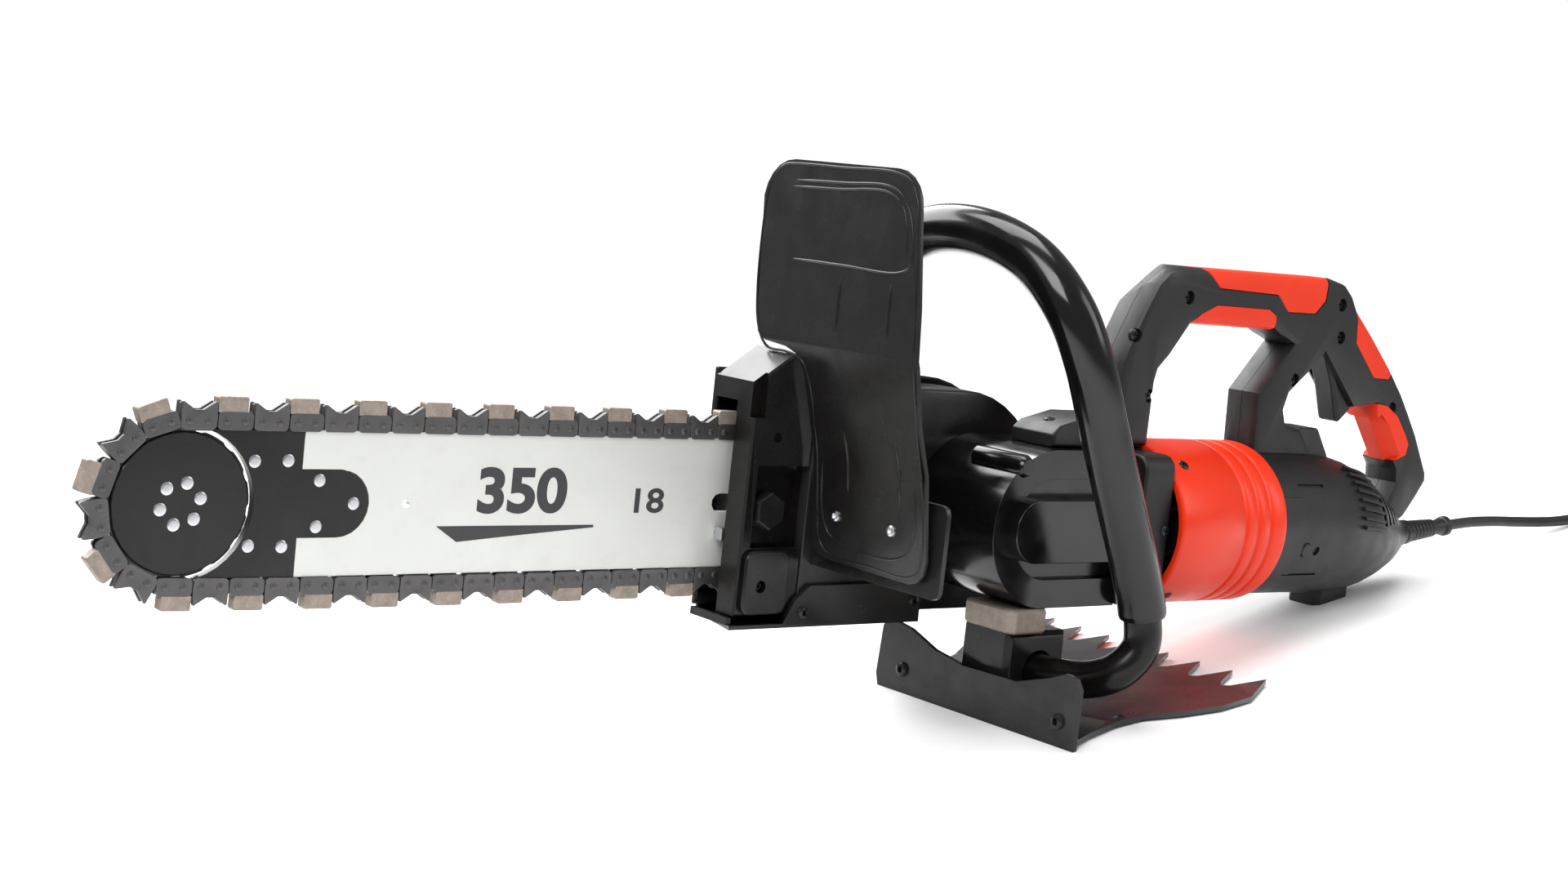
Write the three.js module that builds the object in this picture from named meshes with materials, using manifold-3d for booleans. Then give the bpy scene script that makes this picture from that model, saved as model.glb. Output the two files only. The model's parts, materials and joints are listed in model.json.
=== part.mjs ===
// Hand-held electric chain trencher: guide bar with a diamond chain, gear head, motor,
// two handles, hand guard and a rear claw plate.  Millimetres, Z up.
// The saw is drawn level first: X runs from the bar tip to the cord, Y away from the operator's
// side, the bar centreline is X and the front of the chain case is X = 0.
// It is then pitched tip-up until it stands on the front plate and the tail foot.
import * as THREE from 'three';
import Module from 'manifold-3d';

const wasm = await Module();
wasm.setup();

const V2 = (x, y) => new THREE.Vector2(x, y);
const V3 = (x, y, z) => new THREE.Vector3(x, y, z);

// ---- driving dimensions ----
const GAP = 0.3;                    // running gap between neighbouring pieces
const CHAIN_PITCH = 9.525;          // 3/8 inch chain
const LINK_MODULE = 4 * CHAIN_PITCH; // one diamond link plus one bumper link
const LINK_MODULES = 32;
const BAR_HALF = 37;
const BAR_THICK = 4.8;
const NOSE_X = -326;                // nose wheel axis
const NOSE_R = 35;
const NOSE_TEETH = 13;
const NOSE_TIP_R = 36.2;            // the wheel's tooth tips and the gaps between them
const NOSE_ROOT_R = 35.4;
const NOSE_ARC = 38;                // hollow of the nose piece around the wheel
const TONGUE_X = -241.5;            // centre of the round tongue of the nose piece
const TONGUE_R = 17;
const BAR_FRONT = -263;
const BAR_REAR = 92;
const CHAIN_LINE = 40.5;            // rivet line of the chain above the bar centreline
const CHAIN_INSIDE = 3.2;           // how far the links reach inside that line
const CHAIN_HALF = 3.6;             // half the width of the links
const CHAIN_LEAVE = 85;             // where the chain leaves the bar rails
const SPROCKET_R = 27.85;           // rivet circle on the nine-tooth drive sprocket
const SPROCKET_TEETH = 9;
const SPROCKET_TIP_R = 22.4;
const SPROCKET_ROOT_R = 19;
const DRIVE_X = 173.6;              // output shaft
const SHAFT_R = 7;
const PINION_SEAT_R = 4;            // front end of the armature shaft, in the pinion
const BOLT_X = 19;                  // clamping bolt through the bar slot
const BOLT_Z = -1;
const STUD_X = 56;
const BOLT_R = 4;
const CASE_TOP = 72;
const CASE_BOTTOM = -62;
const COVER_TOP = 76;               // rim of the side cover, a little above the case
const CASE_NEAR = -26;
const CASE_FAR = 12;
const HEAD_R = 47;                  // gear head
const HEAD_NEAR = -97;
const MOTOR_Y = -70;                // motor axis
const MOTOR_R = 51.5;
const MOTOR_FRONT = 262;
const MOTOR_REAR = 362;
const TAIL_R = 48;
const TAIL_WALL = 4;
const HANDLE_NEAR = -84;            // D-handle
const HANDLE_FAR = -56;
const TUBE_R = 11;                  // front handle tube
const SLEEVE_R = 14;                // grip sleeve on it, over this part of the tube's length
const SLEEVE_FROM = 0.13;
const SLEEVE_TO = 0.79;
const SHEET = 3;
const STAND_FRONT = V2(146, -115.5); // lower edge of the front plate
const STAND_REAR = V2(470, -54);     // underside of the tail foot
const RELIEF_END = V3(599, -75, -5);   // mouth of the cord's strain relief
const RELIEF_START = V3(550, -70.4, -10.6);
const CORD_R = 3.75;
const COIL_X = 644;                 // coil of the spare cord, on the floor
const COIL_Y = -90;
const COIL_MID_R = 40;
const COIL_ROWS = 3;                // turns side by side, and turns on top of each other
const TIE_THICK = 1.2;
const PLUG_R = 12;

// ---- small helpers ----

// corners only: points in the middle of a straight edge are dropped
function corners(points) {
  const n = points.length;
  return points.filter(([x, y], i) => {
    const [ax, ay] = points[(i + n - 1) % n];
    const [bx, by] = points[(i + 1) % n];
    return Math.abs((x - ax) * (by - y) - (y - ay) * (bx - x)) > 1e-6;
  });
}

function shapeOf(points, holes = []) {
  const shape = new THREE.Shape(corners(points).map(([x, y]) => V2(x, y)));
  for (const hole of holes) {
    shape.holes.push(new THREE.Path(corners(hole).map(([x, y]) => V2(x, y))));
  }
  return shape;
}

function arc(cx, cy, r, fromDeg, toDeg, steps) {
  const points = [];
  for (let i = 0; i <= steps; i += 1) {
    const a = THREE.MathUtils.degToRad(fromDeg + ((toDeg - fromDeg) * i) / steps);
    points.push([cx + r * Math.cos(a), cy + r * Math.sin(a)]);
  }
  return points;
}

const circle = (cx, cy, r, steps) => arc(cx, cy, r, 0, 360 - 360 / steps, steps - 1);

function slotPath(x0, x1, y, r, steps) {
  return [...arc(x1 - r, y, r, -90, 90, steps), ...arc(x0 + r, y, r, 90, 270, steps)];
}

function roundedRect(x0, x1, y0, y1, r, steps = 3) {
  return [
    ...arc(x1 - r, y0 + r, r, -90, 0, steps),
    ...arc(x1 - r, y1 - r, r, 0, 90, steps),
    ...arc(x0 + r, y1 - r, r, 90, 180, steps),
    ...arc(x0 + r, y0 + r, r, 180, 270, steps),
  ];
}

function prism(shape, depth, bevel = 0, segments = 1) {
  const geometry = new THREE.ExtrudeGeometry(shape, {
    depth: depth - 2 * bevel,
    bevelEnabled: bevel > 0,
    bevelThickness: bevel,
    bevelSize: bevel,
    bevelOffset: -bevel,
    bevelSegments: segments,
    curveSegments: 8,
  });
  geometry.translate(0, 0, bevel);
  return geometry;
}

// outline in X-Z, solid from y0 to y1
function alongY(shape, y0, y1, bevel = 0, segments = 1) {
  const geometry = prism(shape, y1 - y0, bevel, segments);
  geometry.rotateX(Math.PI / 2);
  geometry.translate(0, y1, 0);
  return geometry;
}

// outline in Y-Z, solid from x0 to x1
function alongX(shape, x0, x1, bevel = 0, segments = 1) {
  const geometry = prism(shape, x1 - x0, bevel, segments);
  const basis = new THREE.Matrix4().makeBasis(V3(0, 1, 0), V3(0, 0, 1), V3(1, 0, 0));
  geometry.applyMatrix4(basis);
  geometry.translate(x0, 0, 0);
  return geometry;
}

// outline in X-Y, solid from z0 to z1
function alongZ(shape, z0, z1, bevel = 0) {
  const geometry = prism(shape, z1 - z0, bevel);
  geometry.translate(0, 0, z0);
  return geometry;
}

function box(x0, x1, y0, y1, z0, z1) {
  const geometry = new THREE.BoxGeometry(x1 - x0, y1 - y0, z1 - z0);
  geometry.translate((x0 + x1) / 2, (y0 + y1) / 2, (z0 + z1) / 2);
  return geometry;
}

function softBox(x0, x1, y0, y1, z0, z1, bevel) {
  const outline = [[x0, z0], [x1, z0], [x1, z1], [x0, z1]];
  return alongY(shapeOf(outline), y0, y1, bevel);
}

// profile pairs are [radius, position along the axis]
function turned(profile, sides) {
  return new THREE.LatheGeometry(profile.map(([r, h]) => V2(r, h)), sides);
}

function turnedY(profile, x, z, sides) {
  const geometry = turned(profile, sides);
  geometry.translate(x, 0, z);
  return geometry;
}

function turnedX(profile, y, z, sides) {
  const geometry = turned(profile, sides);
  geometry.rotateZ(-Math.PI / 2);
  geometry.translate(0, y, z);
  return geometry;
}

const rod = (r, h0, h1) => [[0, h0], [r, h0], [r, h1], [0, h1]];
const ring = (inner, outer, h0, h1) => [[inner, h0], [outer, h0], [outer, h1], [inner, h1], [inner, h0]];

function weld(geometry) {
  const flat = geometry.index ? geometry.toNonIndexed() : geometry.clone();
  const position = flat.getAttribute('position');
  const keys = new Map();
  const vertices = [];
  const triangles = [];
  for (let i = 0; i < position.count; i += 1) {
    const p = [position.getX(i), position.getY(i), position.getZ(i)];
    const key = p.map((v) => Math.round(v * 1e4)).join(',');
    if (!keys.has(key)) {
      keys.set(key, vertices.length / 3);
      vertices.push(...p);
    }
    triangles.push(keys.get(key));
  }
  const kept = [];
  for (let i = 0; i < triangles.length; i += 3) {
    const [a, b, c] = triangles.slice(i, i + 3);
    if (a !== b && b !== c && a !== c) {
      kept.push(a, b, c);
    }
  }
  return { vertices, triangles: kept };
}

function solid(geometry) {
  const { vertices, triangles } = weld(geometry);
  const mesh = new wasm.Mesh({
    numProp: 3,
    vertProperties: new Float32Array(vertices),
    triVerts: new Uint32Array(triangles),
  });
  return new wasm.Manifold(mesh);
}

const join = (...parts) => parts.map(asSolid).reduce((a, b) => a.add(b));
const cut = (body, ...tools) => tools.map(asSolid).reduce((a, b) => a.subtract(b), asSolid(body));
const common = (a, b) => asSolid(a).intersect(asSolid(b));

function asSolid(item) {
  return item.isBufferGeometry ? solid(item) : item;
}

function asGeometry(item) {
  const geometry = new THREE.BufferGeometry();
  if (item.isBufferGeometry) {
    const { vertices, triangles } = weld(item);
    geometry.setAttribute('position', new THREE.Float32BufferAttribute(vertices, 3));
    geometry.setIndex(triangles);
  } else {
    const mesh = item.getMesh();
    geometry.setAttribute('position', new THREE.Float32BufferAttribute(mesh.vertProperties, 3));
    geometry.setIndex(Array.from(mesh.triVerts));
  }
  return geometry;
}

// a body through round sections given as [x, centre height, radius]
function throughRounds(sections, y, sides) {
  const vertices = [];
  const index = [];
  for (const [x, z, r] of sections) {
    for (let i = 0; i < sides; i += 1) {
      const a = (2 * Math.PI * i) / sides;
      vertices.push(x, y + r * Math.cos(a), z + r * Math.sin(a));
    }
  }
  for (let s = 0; s + 1 < sections.length; s += 1) {
    for (let i = 0; i < sides; i += 1) {
      const a = s * sides + i;
      const b = s * sides + ((i + 1) % sides);
      index.push(a, b, b + sides, a, b + sides, a + sides);
    }
  }
  const last = (sections.length - 1) * sides;
  for (let i = 1; i + 1 < sides; i += 1) {
    index.push(0, i + 1, i, last, last + i, last + i + 1);
  }
  const geometry = new THREE.BufferGeometry();
  geometry.setAttribute('position', new THREE.Float32BufferAttribute(vertices, 3));
  geometry.setIndex(index);
  return geometry;
}

// a closed ring through sections of equal point count
function closedLoop(sections) {
  const sides = sections[0].length;
  const index = [];
  for (let s = 0; s < sections.length; s += 1) {
    const here = s * sides;
    const next = ((s + 1) % sections.length) * sides;
    for (let i = 0; i < sides; i += 1) {
      const j = (i + 1) % sides;
      index.push(here + i, next + j, here + j, here + i, next + i, next + j);
    }
  }
  const geometry = new THREE.BufferGeometry();
  geometry.setAttribute('position', new THREE.Float32BufferAttribute(sections.flat(2), 3));
  geometry.setIndex(index);
  return geometry;
}

// ---- placing ----
const pieces = [];
const loosePieces = [];
const pitch = Math.atan2(STAND_REAR.y - STAND_FRONT.y, STAND_REAR.x - STAND_FRONT.x);
const stand = new THREE.Matrix4().makeRotationY(pitch);
const standLow = V3(STAND_FRONT.x, 0, STAND_FRONT.y).applyMatrix4(stand).z;

function meshOf(name, item, colour, metalness, roughness) {
  const material = new THREE.MeshStandardMaterial({ color: colour, metalness, roughness });
  const mesh = new THREE.Mesh(asGeometry(item), material);
  mesh.name = name;
  return mesh;
}

// a piece of the saw, drawn level and stood on its two feet
function make(name, item, colour, metalness, roughness) {
  const mesh = meshOf(name, item, colour, metalness, roughness);
  mesh.geometry.applyMatrix4(stand);
  mesh.geometry.translate(0, 0, -standLow);
  pieces.push(mesh);
}

// a piece that lies on the floor by itself, drawn where it lies
function makeLoose(name, item, colour, metalness, roughness) {
  loosePieces.push(meshOf(name, item, colour, metalness, roughness));
}

// everything of a body that lies above the floor it stands on
function trimmedByFloor(item) {
  const below = box(-900, 1500, -400, 400, -300, 0);
  below.translate(0, 0, standLow);
  below.applyMatrix4(stand.clone().invert());
  return cut(item, below);
}

const STEEL = 0x9a9ca0;
const BLACK = 0x161617;
const PLASTIC = 0x242527;
const RED = 0xe23208;
const GRAPHITE = 0x3c3c3f;

// ---- guide bar and nose ----
function guideBar() {
  const outline = [
    [BAR_FRONT, -BAR_HALF],
    [BAR_REAR - 12, -BAR_HALF],
    [BAR_REAR, -BAR_HALF + 12],
    [BAR_REAR, BAR_HALF - 12],
    [BAR_REAR - 12, BAR_HALF],
    [BAR_FRONT, BAR_HALF],
    ...arc(TONGUE_X, 0, TONGUE_R + GAP, 90, -90, 12).map(([x, z]) => [x, z]),
  ];
  outline.splice(6, 0, [BAR_FRONT, TONGUE_R + GAP]);
  outline.push([BAR_FRONT, -TONGUE_R - GAP]);
  const holes = [
    circle(-202.5, 0, 2.3, 12),
    slotPath(-5, 66, 0, BOLT_R - BOLT_Z + GAP, 5),
    circle(2, -17, 3, 10),
  ];
  make('guide_bar', alongY(shapeOf(outline, holes), -BAR_THICK / 2, BAR_THICK / 2), 0xdadbd8, 0.3, 0.5);
}

function barNose() {
  const edge = BAR_FRONT - GAP;
  const outline = [
    ...arc(NOSE_X, 0, NOSE_ARC, 74, -74, 16),
    [edge, -BAR_HALF + 0.2],
    [edge, -TONGUE_R],
    ...arc(TONGUE_X, 0, TONGUE_R, -90, 90, 12),
    [edge, TONGUE_R],
    [edge, BAR_HALF - 0.2],
  ];
  make('bar_nose', alongY(shapeOf(outline), -BAR_THICK / 2, BAR_THICK / 2), BLACK, 0.6, 0.4);
}

function noseWheel() {
  const rim = [];
  const step = 360 / NOSE_TEETH;
  for (let i = 0; i < NOSE_TEETH; i += 1) {
    rim.push(...arc(NOSE_X, 0, NOSE_TIP_R, i * step, i * step + step * 0.6, 3));
    rim.push(...arc(NOSE_X, 0, NOSE_ROOT_R, i * step + step * 0.7, i * step + step * 0.9, 1));
  }
  const web = alongY(shapeOf(rim), -0.9, 0.9);
  const half = BAR_THICK / 2;
  const flat = NOSE_R - 0.6;
  const rimOfDisc = [
    [0, -half], [flat, -half], [NOSE_R, -half + 0.6], [NOSE_R, half - 0.6], [flat, half], [0, half],
  ];
  const disc = turnedY(rimOfDisc, NOSE_X, 0, 40);
  make('nose_wheel', join(disc, web), BLACK, 0.6, 0.4);
}

// rivet line of the chain: round the nose, along the bar, onto the drive sprocket and back
function chainLine() {
  const reach = DRIVE_X - CHAIN_LEAVE;
  const away = Math.hypot(reach, CHAIN_LINE);
  const dip = Math.atan2(CHAIN_LINE, reach) - Math.asin(SPROCKET_R / away);
  const slant = Math.sqrt(away * away - SPROCKET_R * SPROCKET_R);
  const lengths = {
    straight: CHAIN_LEAVE - NOSE_X,
    slant,
    wrap: SPROCKET_R * (Math.PI - 2 * dip),
    nose: CHAIN_LINE * Math.PI,
  };
  lengths.total = 2 * lengths.straight + 2 * slant + lengths.wrap + lengths.nose;
  return { dip, lengths };
}

// point and outward direction at a distance along the rivet line
function chainAt(distance, line) {
  const { dip, lengths } = line;
  let s = ((distance % lengths.total) + lengths.total) % lengths.total;
  if (s < lengths.straight) {
    return { x: NOSE_X + s, z: CHAIN_LINE, nx: 0, nz: 1 };
  }
  s -= lengths.straight;
  if (s < lengths.slant) {
    return {
      x: CHAIN_LEAVE + s * Math.cos(dip),
      z: CHAIN_LINE - s * Math.sin(dip),
      nx: Math.sin(dip),
      nz: Math.cos(dip),
    };
  }
  s -= lengths.slant;
  if (s < lengths.wrap) {
    const a = Math.PI / 2 - dip - s / SPROCKET_R;
    return {
      x: DRIVE_X + SPROCKET_R * Math.cos(a),
      z: SPROCKET_R * Math.sin(a),
      nx: Math.cos(a),
      nz: Math.sin(a),
    };
  }
  s -= lengths.wrap;
  if (s < lengths.slant) {
    const back = lengths.slant - s;
    return {
      x: CHAIN_LEAVE + back * Math.cos(dip),
      z: -CHAIN_LINE + back * Math.sin(dip),
      nx: Math.sin(dip),
      nz: -Math.cos(dip),
    };
  }
  s -= lengths.slant;
  if (s < lengths.straight) {
    return { x: CHAIN_LEAVE - s, z: -CHAIN_LINE, nx: 0, nz: -1 };
  }
  s -= lengths.straight;
  const a = -Math.PI / 2 - s / CHAIN_LINE;
  return {
    x: NOSE_X + CHAIN_LINE * Math.cos(a),
    z: CHAIN_LINE * Math.sin(a),
    nx: Math.cos(a),
    nz: Math.sin(a),
  };
}

// height of the chain's outer edge above the rivet line, at steps along one diamond + bumper pair
const LINK_EDGE = [
  [0, 4.8], [0.1, 12], [15.7, 12], [15.8, 4.8],
  [17.9, 4.8], [18.2, 9.3], [24.9, 5.3], [31.4, 5.3], [37.6, 9.3], [37.8, 4.8],
];
const LINK_START = 15.4;            // first diamond link, along the chain from above the nose wheel

function sawChain() {
  const line = chainLine();
  const stretch = line.lengths.total / (LINK_MODULE * LINK_MODULES);
  const sections = [];
  for (let i = 0; i < LINK_MODULES; i += 1) {
    for (const [along, height] of LINK_EDGE) {
      const p = chainAt((i * LINK_MODULE + along + LINK_START) * stretch, line);
      const low = [p.x - p.nx * CHAIN_INSIDE, p.z - p.nz * CHAIN_INSIDE];
      const high = [p.x + p.nx * height, p.z + p.nz * height];
      sections.push([
        [low[0], -CHAIN_HALF, low[1]], [high[0], -CHAIN_HALF, high[1]],
        [high[0], CHAIN_HALF, high[1]], [low[0], CHAIN_HALF, low[1]],
      ]);
    }
  }
  make('saw_chain', closedLoop(sections), GRAPHITE, 0.8, 0.4);
}

// ---- chain case ----
function noseBlock() {
  const outline = [[0, -61], [45, -61], [45, 80], [34, 88], [27, 90], [0, 72]];
  const body = alongY(shapeOf(outline), CASE_NEAR, CASE_FAR, 1.2);
  const groove = box(-5, 50, -10, 30, -70, 60);
  const recess = box(7, 50, -40, -19, -22, 25);
  const step = alongY(shapeOf([[-5, 52], [8, 52], [8, 100], [-5, 100]]), -40, -22.5);
  const pad = alongY(shapeOf(roundedRect(3, 35, -60, -23, 6)), -29.5, -25, 1);
  const boss = softBox(8, 44, -11, -2.7, -11, 11, 0.8);
  const bolt = turnedY(rod(BOLT_R + GAP, -40, 20), BOLT_X, BOLT_Z, 16);
  make('nose_block', cut(join(cut(body, groove, recess, step), pad, boss), bolt), BLACK, 0.4, 0.35);
}

function caseBody() {
  const x0 = 45 + GAP;
  const rear = 163;
  const outline = [
    [x0, CASE_BOTTOM],
    [rear, CASE_BOTTOM],
    ...arc(rear, 0, CASE_TOP, -59.5, 90, 16),
    [x0, CASE_TOP],
  ];
  const body = alongY(shapeOf(outline), CASE_NEAR, CASE_FAR, 2, 2);
  const inside = [
    [x0 - 5, CASE_BOTTOM + 4],
    [rear, CASE_BOTTOM + 4],
    ...arc(rear, 0, CASE_TOP - 5, -60, 90, 14),
    [x0 - 5, CASE_TOP - 5],
  ];
  const pocket = alongY(shapeOf(inside), -12, 40);
  const boss = softBox(x0, 76, -13, -2.7, -11, 11, 0.8);
  const shaft = turnedY(rod(13, -40, 40), DRIVE_X, 0, 24);
  const stud = turnedY(rod(BOLT_R + GAP, -16, 20), STUD_X, 0, 16);
  make('case_body', cut(join(cut(body, pocket), boss), shaft, stud), BLACK, 0.4, 0.35);
}

function sideCover() {
  const rear = 163;
  const outline = [
    [2, CASE_BOTTOM],
    [rear, CASE_BOTTOM],
    ...arc(rear, 0, COVER_TOP, -54.7, 90, 16),
    [2, COVER_TOP],
  ];
  const plate = alongY(shapeOf(outline), CASE_FAR + GAP, CASE_FAR + 5, 1.2);
  const boss = softBox(10, 74, 2.7, CASE_FAR + 2, -11, 11, 0.8);
  const passage = rod(BOLT_R + GAP, -10, 30);
  const holes = [turnedY(passage, BOLT_X, BOLT_Z, 16), turnedY(passage, STUD_X, 0, 16)];
  make('side_cover', cut(join(plate, boss), ...holes), BLACK, 0.4, 0.35);
}

function hexHead(x, z, r, y0, y1) {
  const sides = circle(0, 0, r, 6).map(([a, b]) => [x + b, z + a]);
  return alongY(shapeOf(sides), y0, y1, 0.8);
}

function boltsOfCase() {
  const head = hexHead(BOLT_X, BOLT_Z, 11, -27.5, -19 - GAP);
  make('bar_bolt', join(head, turnedY(rod(BOLT_R, -22, 26), BOLT_X, BOLT_Z, 16)), 0x1c1c1e, 0.7, 0.4);
  const stud = [[0, -15], [BOLT_R, -15], [BOLT_R, 25], [3, 26], [0, 26]];
  make('bar_stud', turnedY(stud, STUD_X, 0, 16), STEEL, 0.9, 0.35);
  const nut = (name, x, z) => {
    const bore = turnedY(rod(BOLT_R + GAP, 10, 30), x, z, 16);
    const flange = turnedY([[0, 17.3], [10.5, 17.3], [10.5, 18.6], [8, 19.4], [0, 19.4]], x, z, 24);
    make(name, cut(join(hexHead(x, z, 8.7, 18, 24.5), flange), bore), STEEL, 0.9, 0.35);
  };
  nut('bar_nut_front', BOLT_X, BOLT_Z);
  nut('bar_nut_rear', STUD_X, 0);
}

function tensionScrew() {
  const screw = turnedX(rod(2, 4, 42), -6.5, -17, 12);
  const pin = turnedY(rod(2.4, -8, 2), 2, -17, 12);
  const block = softBox(-1.5, 6, -9.5, -3, -20.5, -13.5, 0.5);
  make('tension_screw', join(screw, pin, block), STEEL, 0.9, 0.35);
}

function chipTray() {
  const floor = [[-5, -29.5], [140, -29.5], [140, 19], [8, 19]];
  const base = alongZ(shapeOf(floor), -68, -65.6);
  const nearOutline = [[34, -66], [140, -66], [140, -44], [52, -44], [42, -52]];
  const near = alongY(shapeOf(nearOutline), -29.5, -26 - GAP);
  const farOutline = [[8, -66], [140, -66], [140, -48], [8, -48]];
  const far = alongY(shapeOf(farOutline), CASE_FAR + 5 + GAP, 19);
  const lip = softBox(-4.5, -1, -26, 8, -66, -61.6, 0.3);
  make('chip_tray', join(base, near, far, lip), BLACK, 0.5, 0.35);
}

// ---- gear head ----
function archOutline(r, rear) {
  return [[rear, -r], [rear, r], ...arc(DRIVE_X, 0, r, 90, 270, 18)];
}

function gearHead() {
  const body = alongY(shapeOf(archOutline(HEAD_R, 235)), HEAD_NEAR, CASE_NEAR - GAP, 3, 2);
  const recess = alongY(shapeOf(archOutline(30, 260)), -130, HEAD_NEAR + 5);
  const boss = alongY(shapeOf(slotPath(155, 232, 0, 18.5, 8)), -106, -90, 2.5, 2);
  const room = alongY(shapeOf(archOutline(41, 260)), -84, -33);
  const bore = turnedY(rod(15.3, -60, 0), DRIVE_X, 0, 24);
  const seat = turnedY(rod(13.3, -93, -60), DRIVE_X, 0, 24);
  const lug = turnedY([[0, -100], [5, -100], [7, -96], [7, -60], [0, -60]], 146, 37, 14);
  make('gear_head', cut(join(cut(body, recess), boss, lug), room, bore, seat), BLACK, 0.3, 0.25);
}

function outputShaft() {
  const r = SHAFT_R;
  const profile = [[0, -91], [r - 0.5, -91], [r, -90], [r, 9], [r - 2, 10.5], [0, 10.5]];
  make('output_shaft', turnedY(profile, DRIVE_X, 0, 20), STEEL, 0.9, 0.3);
  make('shaft_bearing_near', turnedY(ring(r + GAP, 13, -92, -84.5), DRIVE_X, 0, 24), STEEL, 0.9, 0.25);
  make('shaft_bearing_far', turnedY(ring(r + GAP, 15, -38, -27), DRIVE_X, 0, 24), STEEL, 0.9, 0.25);
}

// pitch cones of the bevel pair, one in four, a little apart
function bevelGears() {
  const bore = SHAFT_R + GAP;
  const face = (r) => MOTOR_Y + r / 4 + 0.8;
  const large = [
    [bore, -48], [bore, face(22)], [22, face(22)], [38, face(38)], [38, -56], [30, -48], [bore, -48],
  ];
  make('bevel_gear', turnedY(large, DRIVE_X, 0, 36), STEEL, 0.9, 0.35);
  const cone = (x) => (x - DRIVE_X) / 4 - 0.4;
  const hole = PINION_SEAT_R + GAP;
  const small = [
    [hole, 197], [cone(197) + 0.6, 197], [cone(211), 211], [7, 215], [7, 219], [hole, 219], [hole, 197],
  ];
  make('bevel_pinion', turnedX(small, MOTOR_Y, 0, 20), STEEL, 0.9, 0.35);
}

function driveSprocket() {
  const outline = [];
  const step = 360 / SPROCKET_TEETH;
  for (let i = 0; i < SPROCKET_TEETH; i += 1) {
    outline.push(...arc(DRIVE_X, 0, SPROCKET_TIP_R, i * step, i * step + step * 0.45, 2));
    outline.push(...arc(DRIVE_X, 0, SPROCKET_ROOT_R, i * step + step * 0.62, i * step + step * 0.83, 1));
  }
  const toothed = alongY(shapeOf(outline), -3.3, 3.3);
  const hub = turnedY(rod(13, -8, 7.5), DRIVE_X, 0, 24);
  const bore = turnedY(rod(SHAFT_R + GAP, -20, 20), DRIVE_X, 0, 20);
  make('drive_sprocket', cut(join(toothed, hub), bore), STEEL, 0.9, 0.35);
}

// ---- motor ----
function motorFlange() {
  const outline = roundedRect(MOTOR_Y - 41, MOTOR_Y + 41, -46.5, 46.5, 9, 3);
  const body = alongX(shapeOf(outline), 235 + GAP, MOTOR_FRONT - GAP, 1.5);
  const bore = turnedX(rod(13 + GAP, 230, 251), MOTOR_Y, 0, 24);
  const bowl = turnedX(rod(37.5, 248, 270), MOTOR_Y, 0, 32);
  make('motor_flange', cut(body, bore, bowl), PLASTIC, 0.2, 0.5);
}

function motorHousing() {
  const R = MOTOR_R;
  const f = MOTOR_FRONT;
  const r = MOTOR_REAR;
  const groove = (x) => [[R, x - 2.4], [R - 0.9, x - 1.2], [R - 0.9, x + 1.2], [R, x + 2.4]];
  const profile = [
    [47.6, f], [R - 2, f], [R - 0.6, f + 0.8], [R, f + 2.5],
    ...groove(r - 40), ...groove(r - 28), ...groove(r - 16),
    [R, r - 3], [R - 0.6, r - 1], [R - 2, r], [47.6, r], [47.6, f],
  ];
  make('motor_housing', turnedX(profile, MOTOR_Y, 0, 40), RED, 0, 0.45);
}

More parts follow.
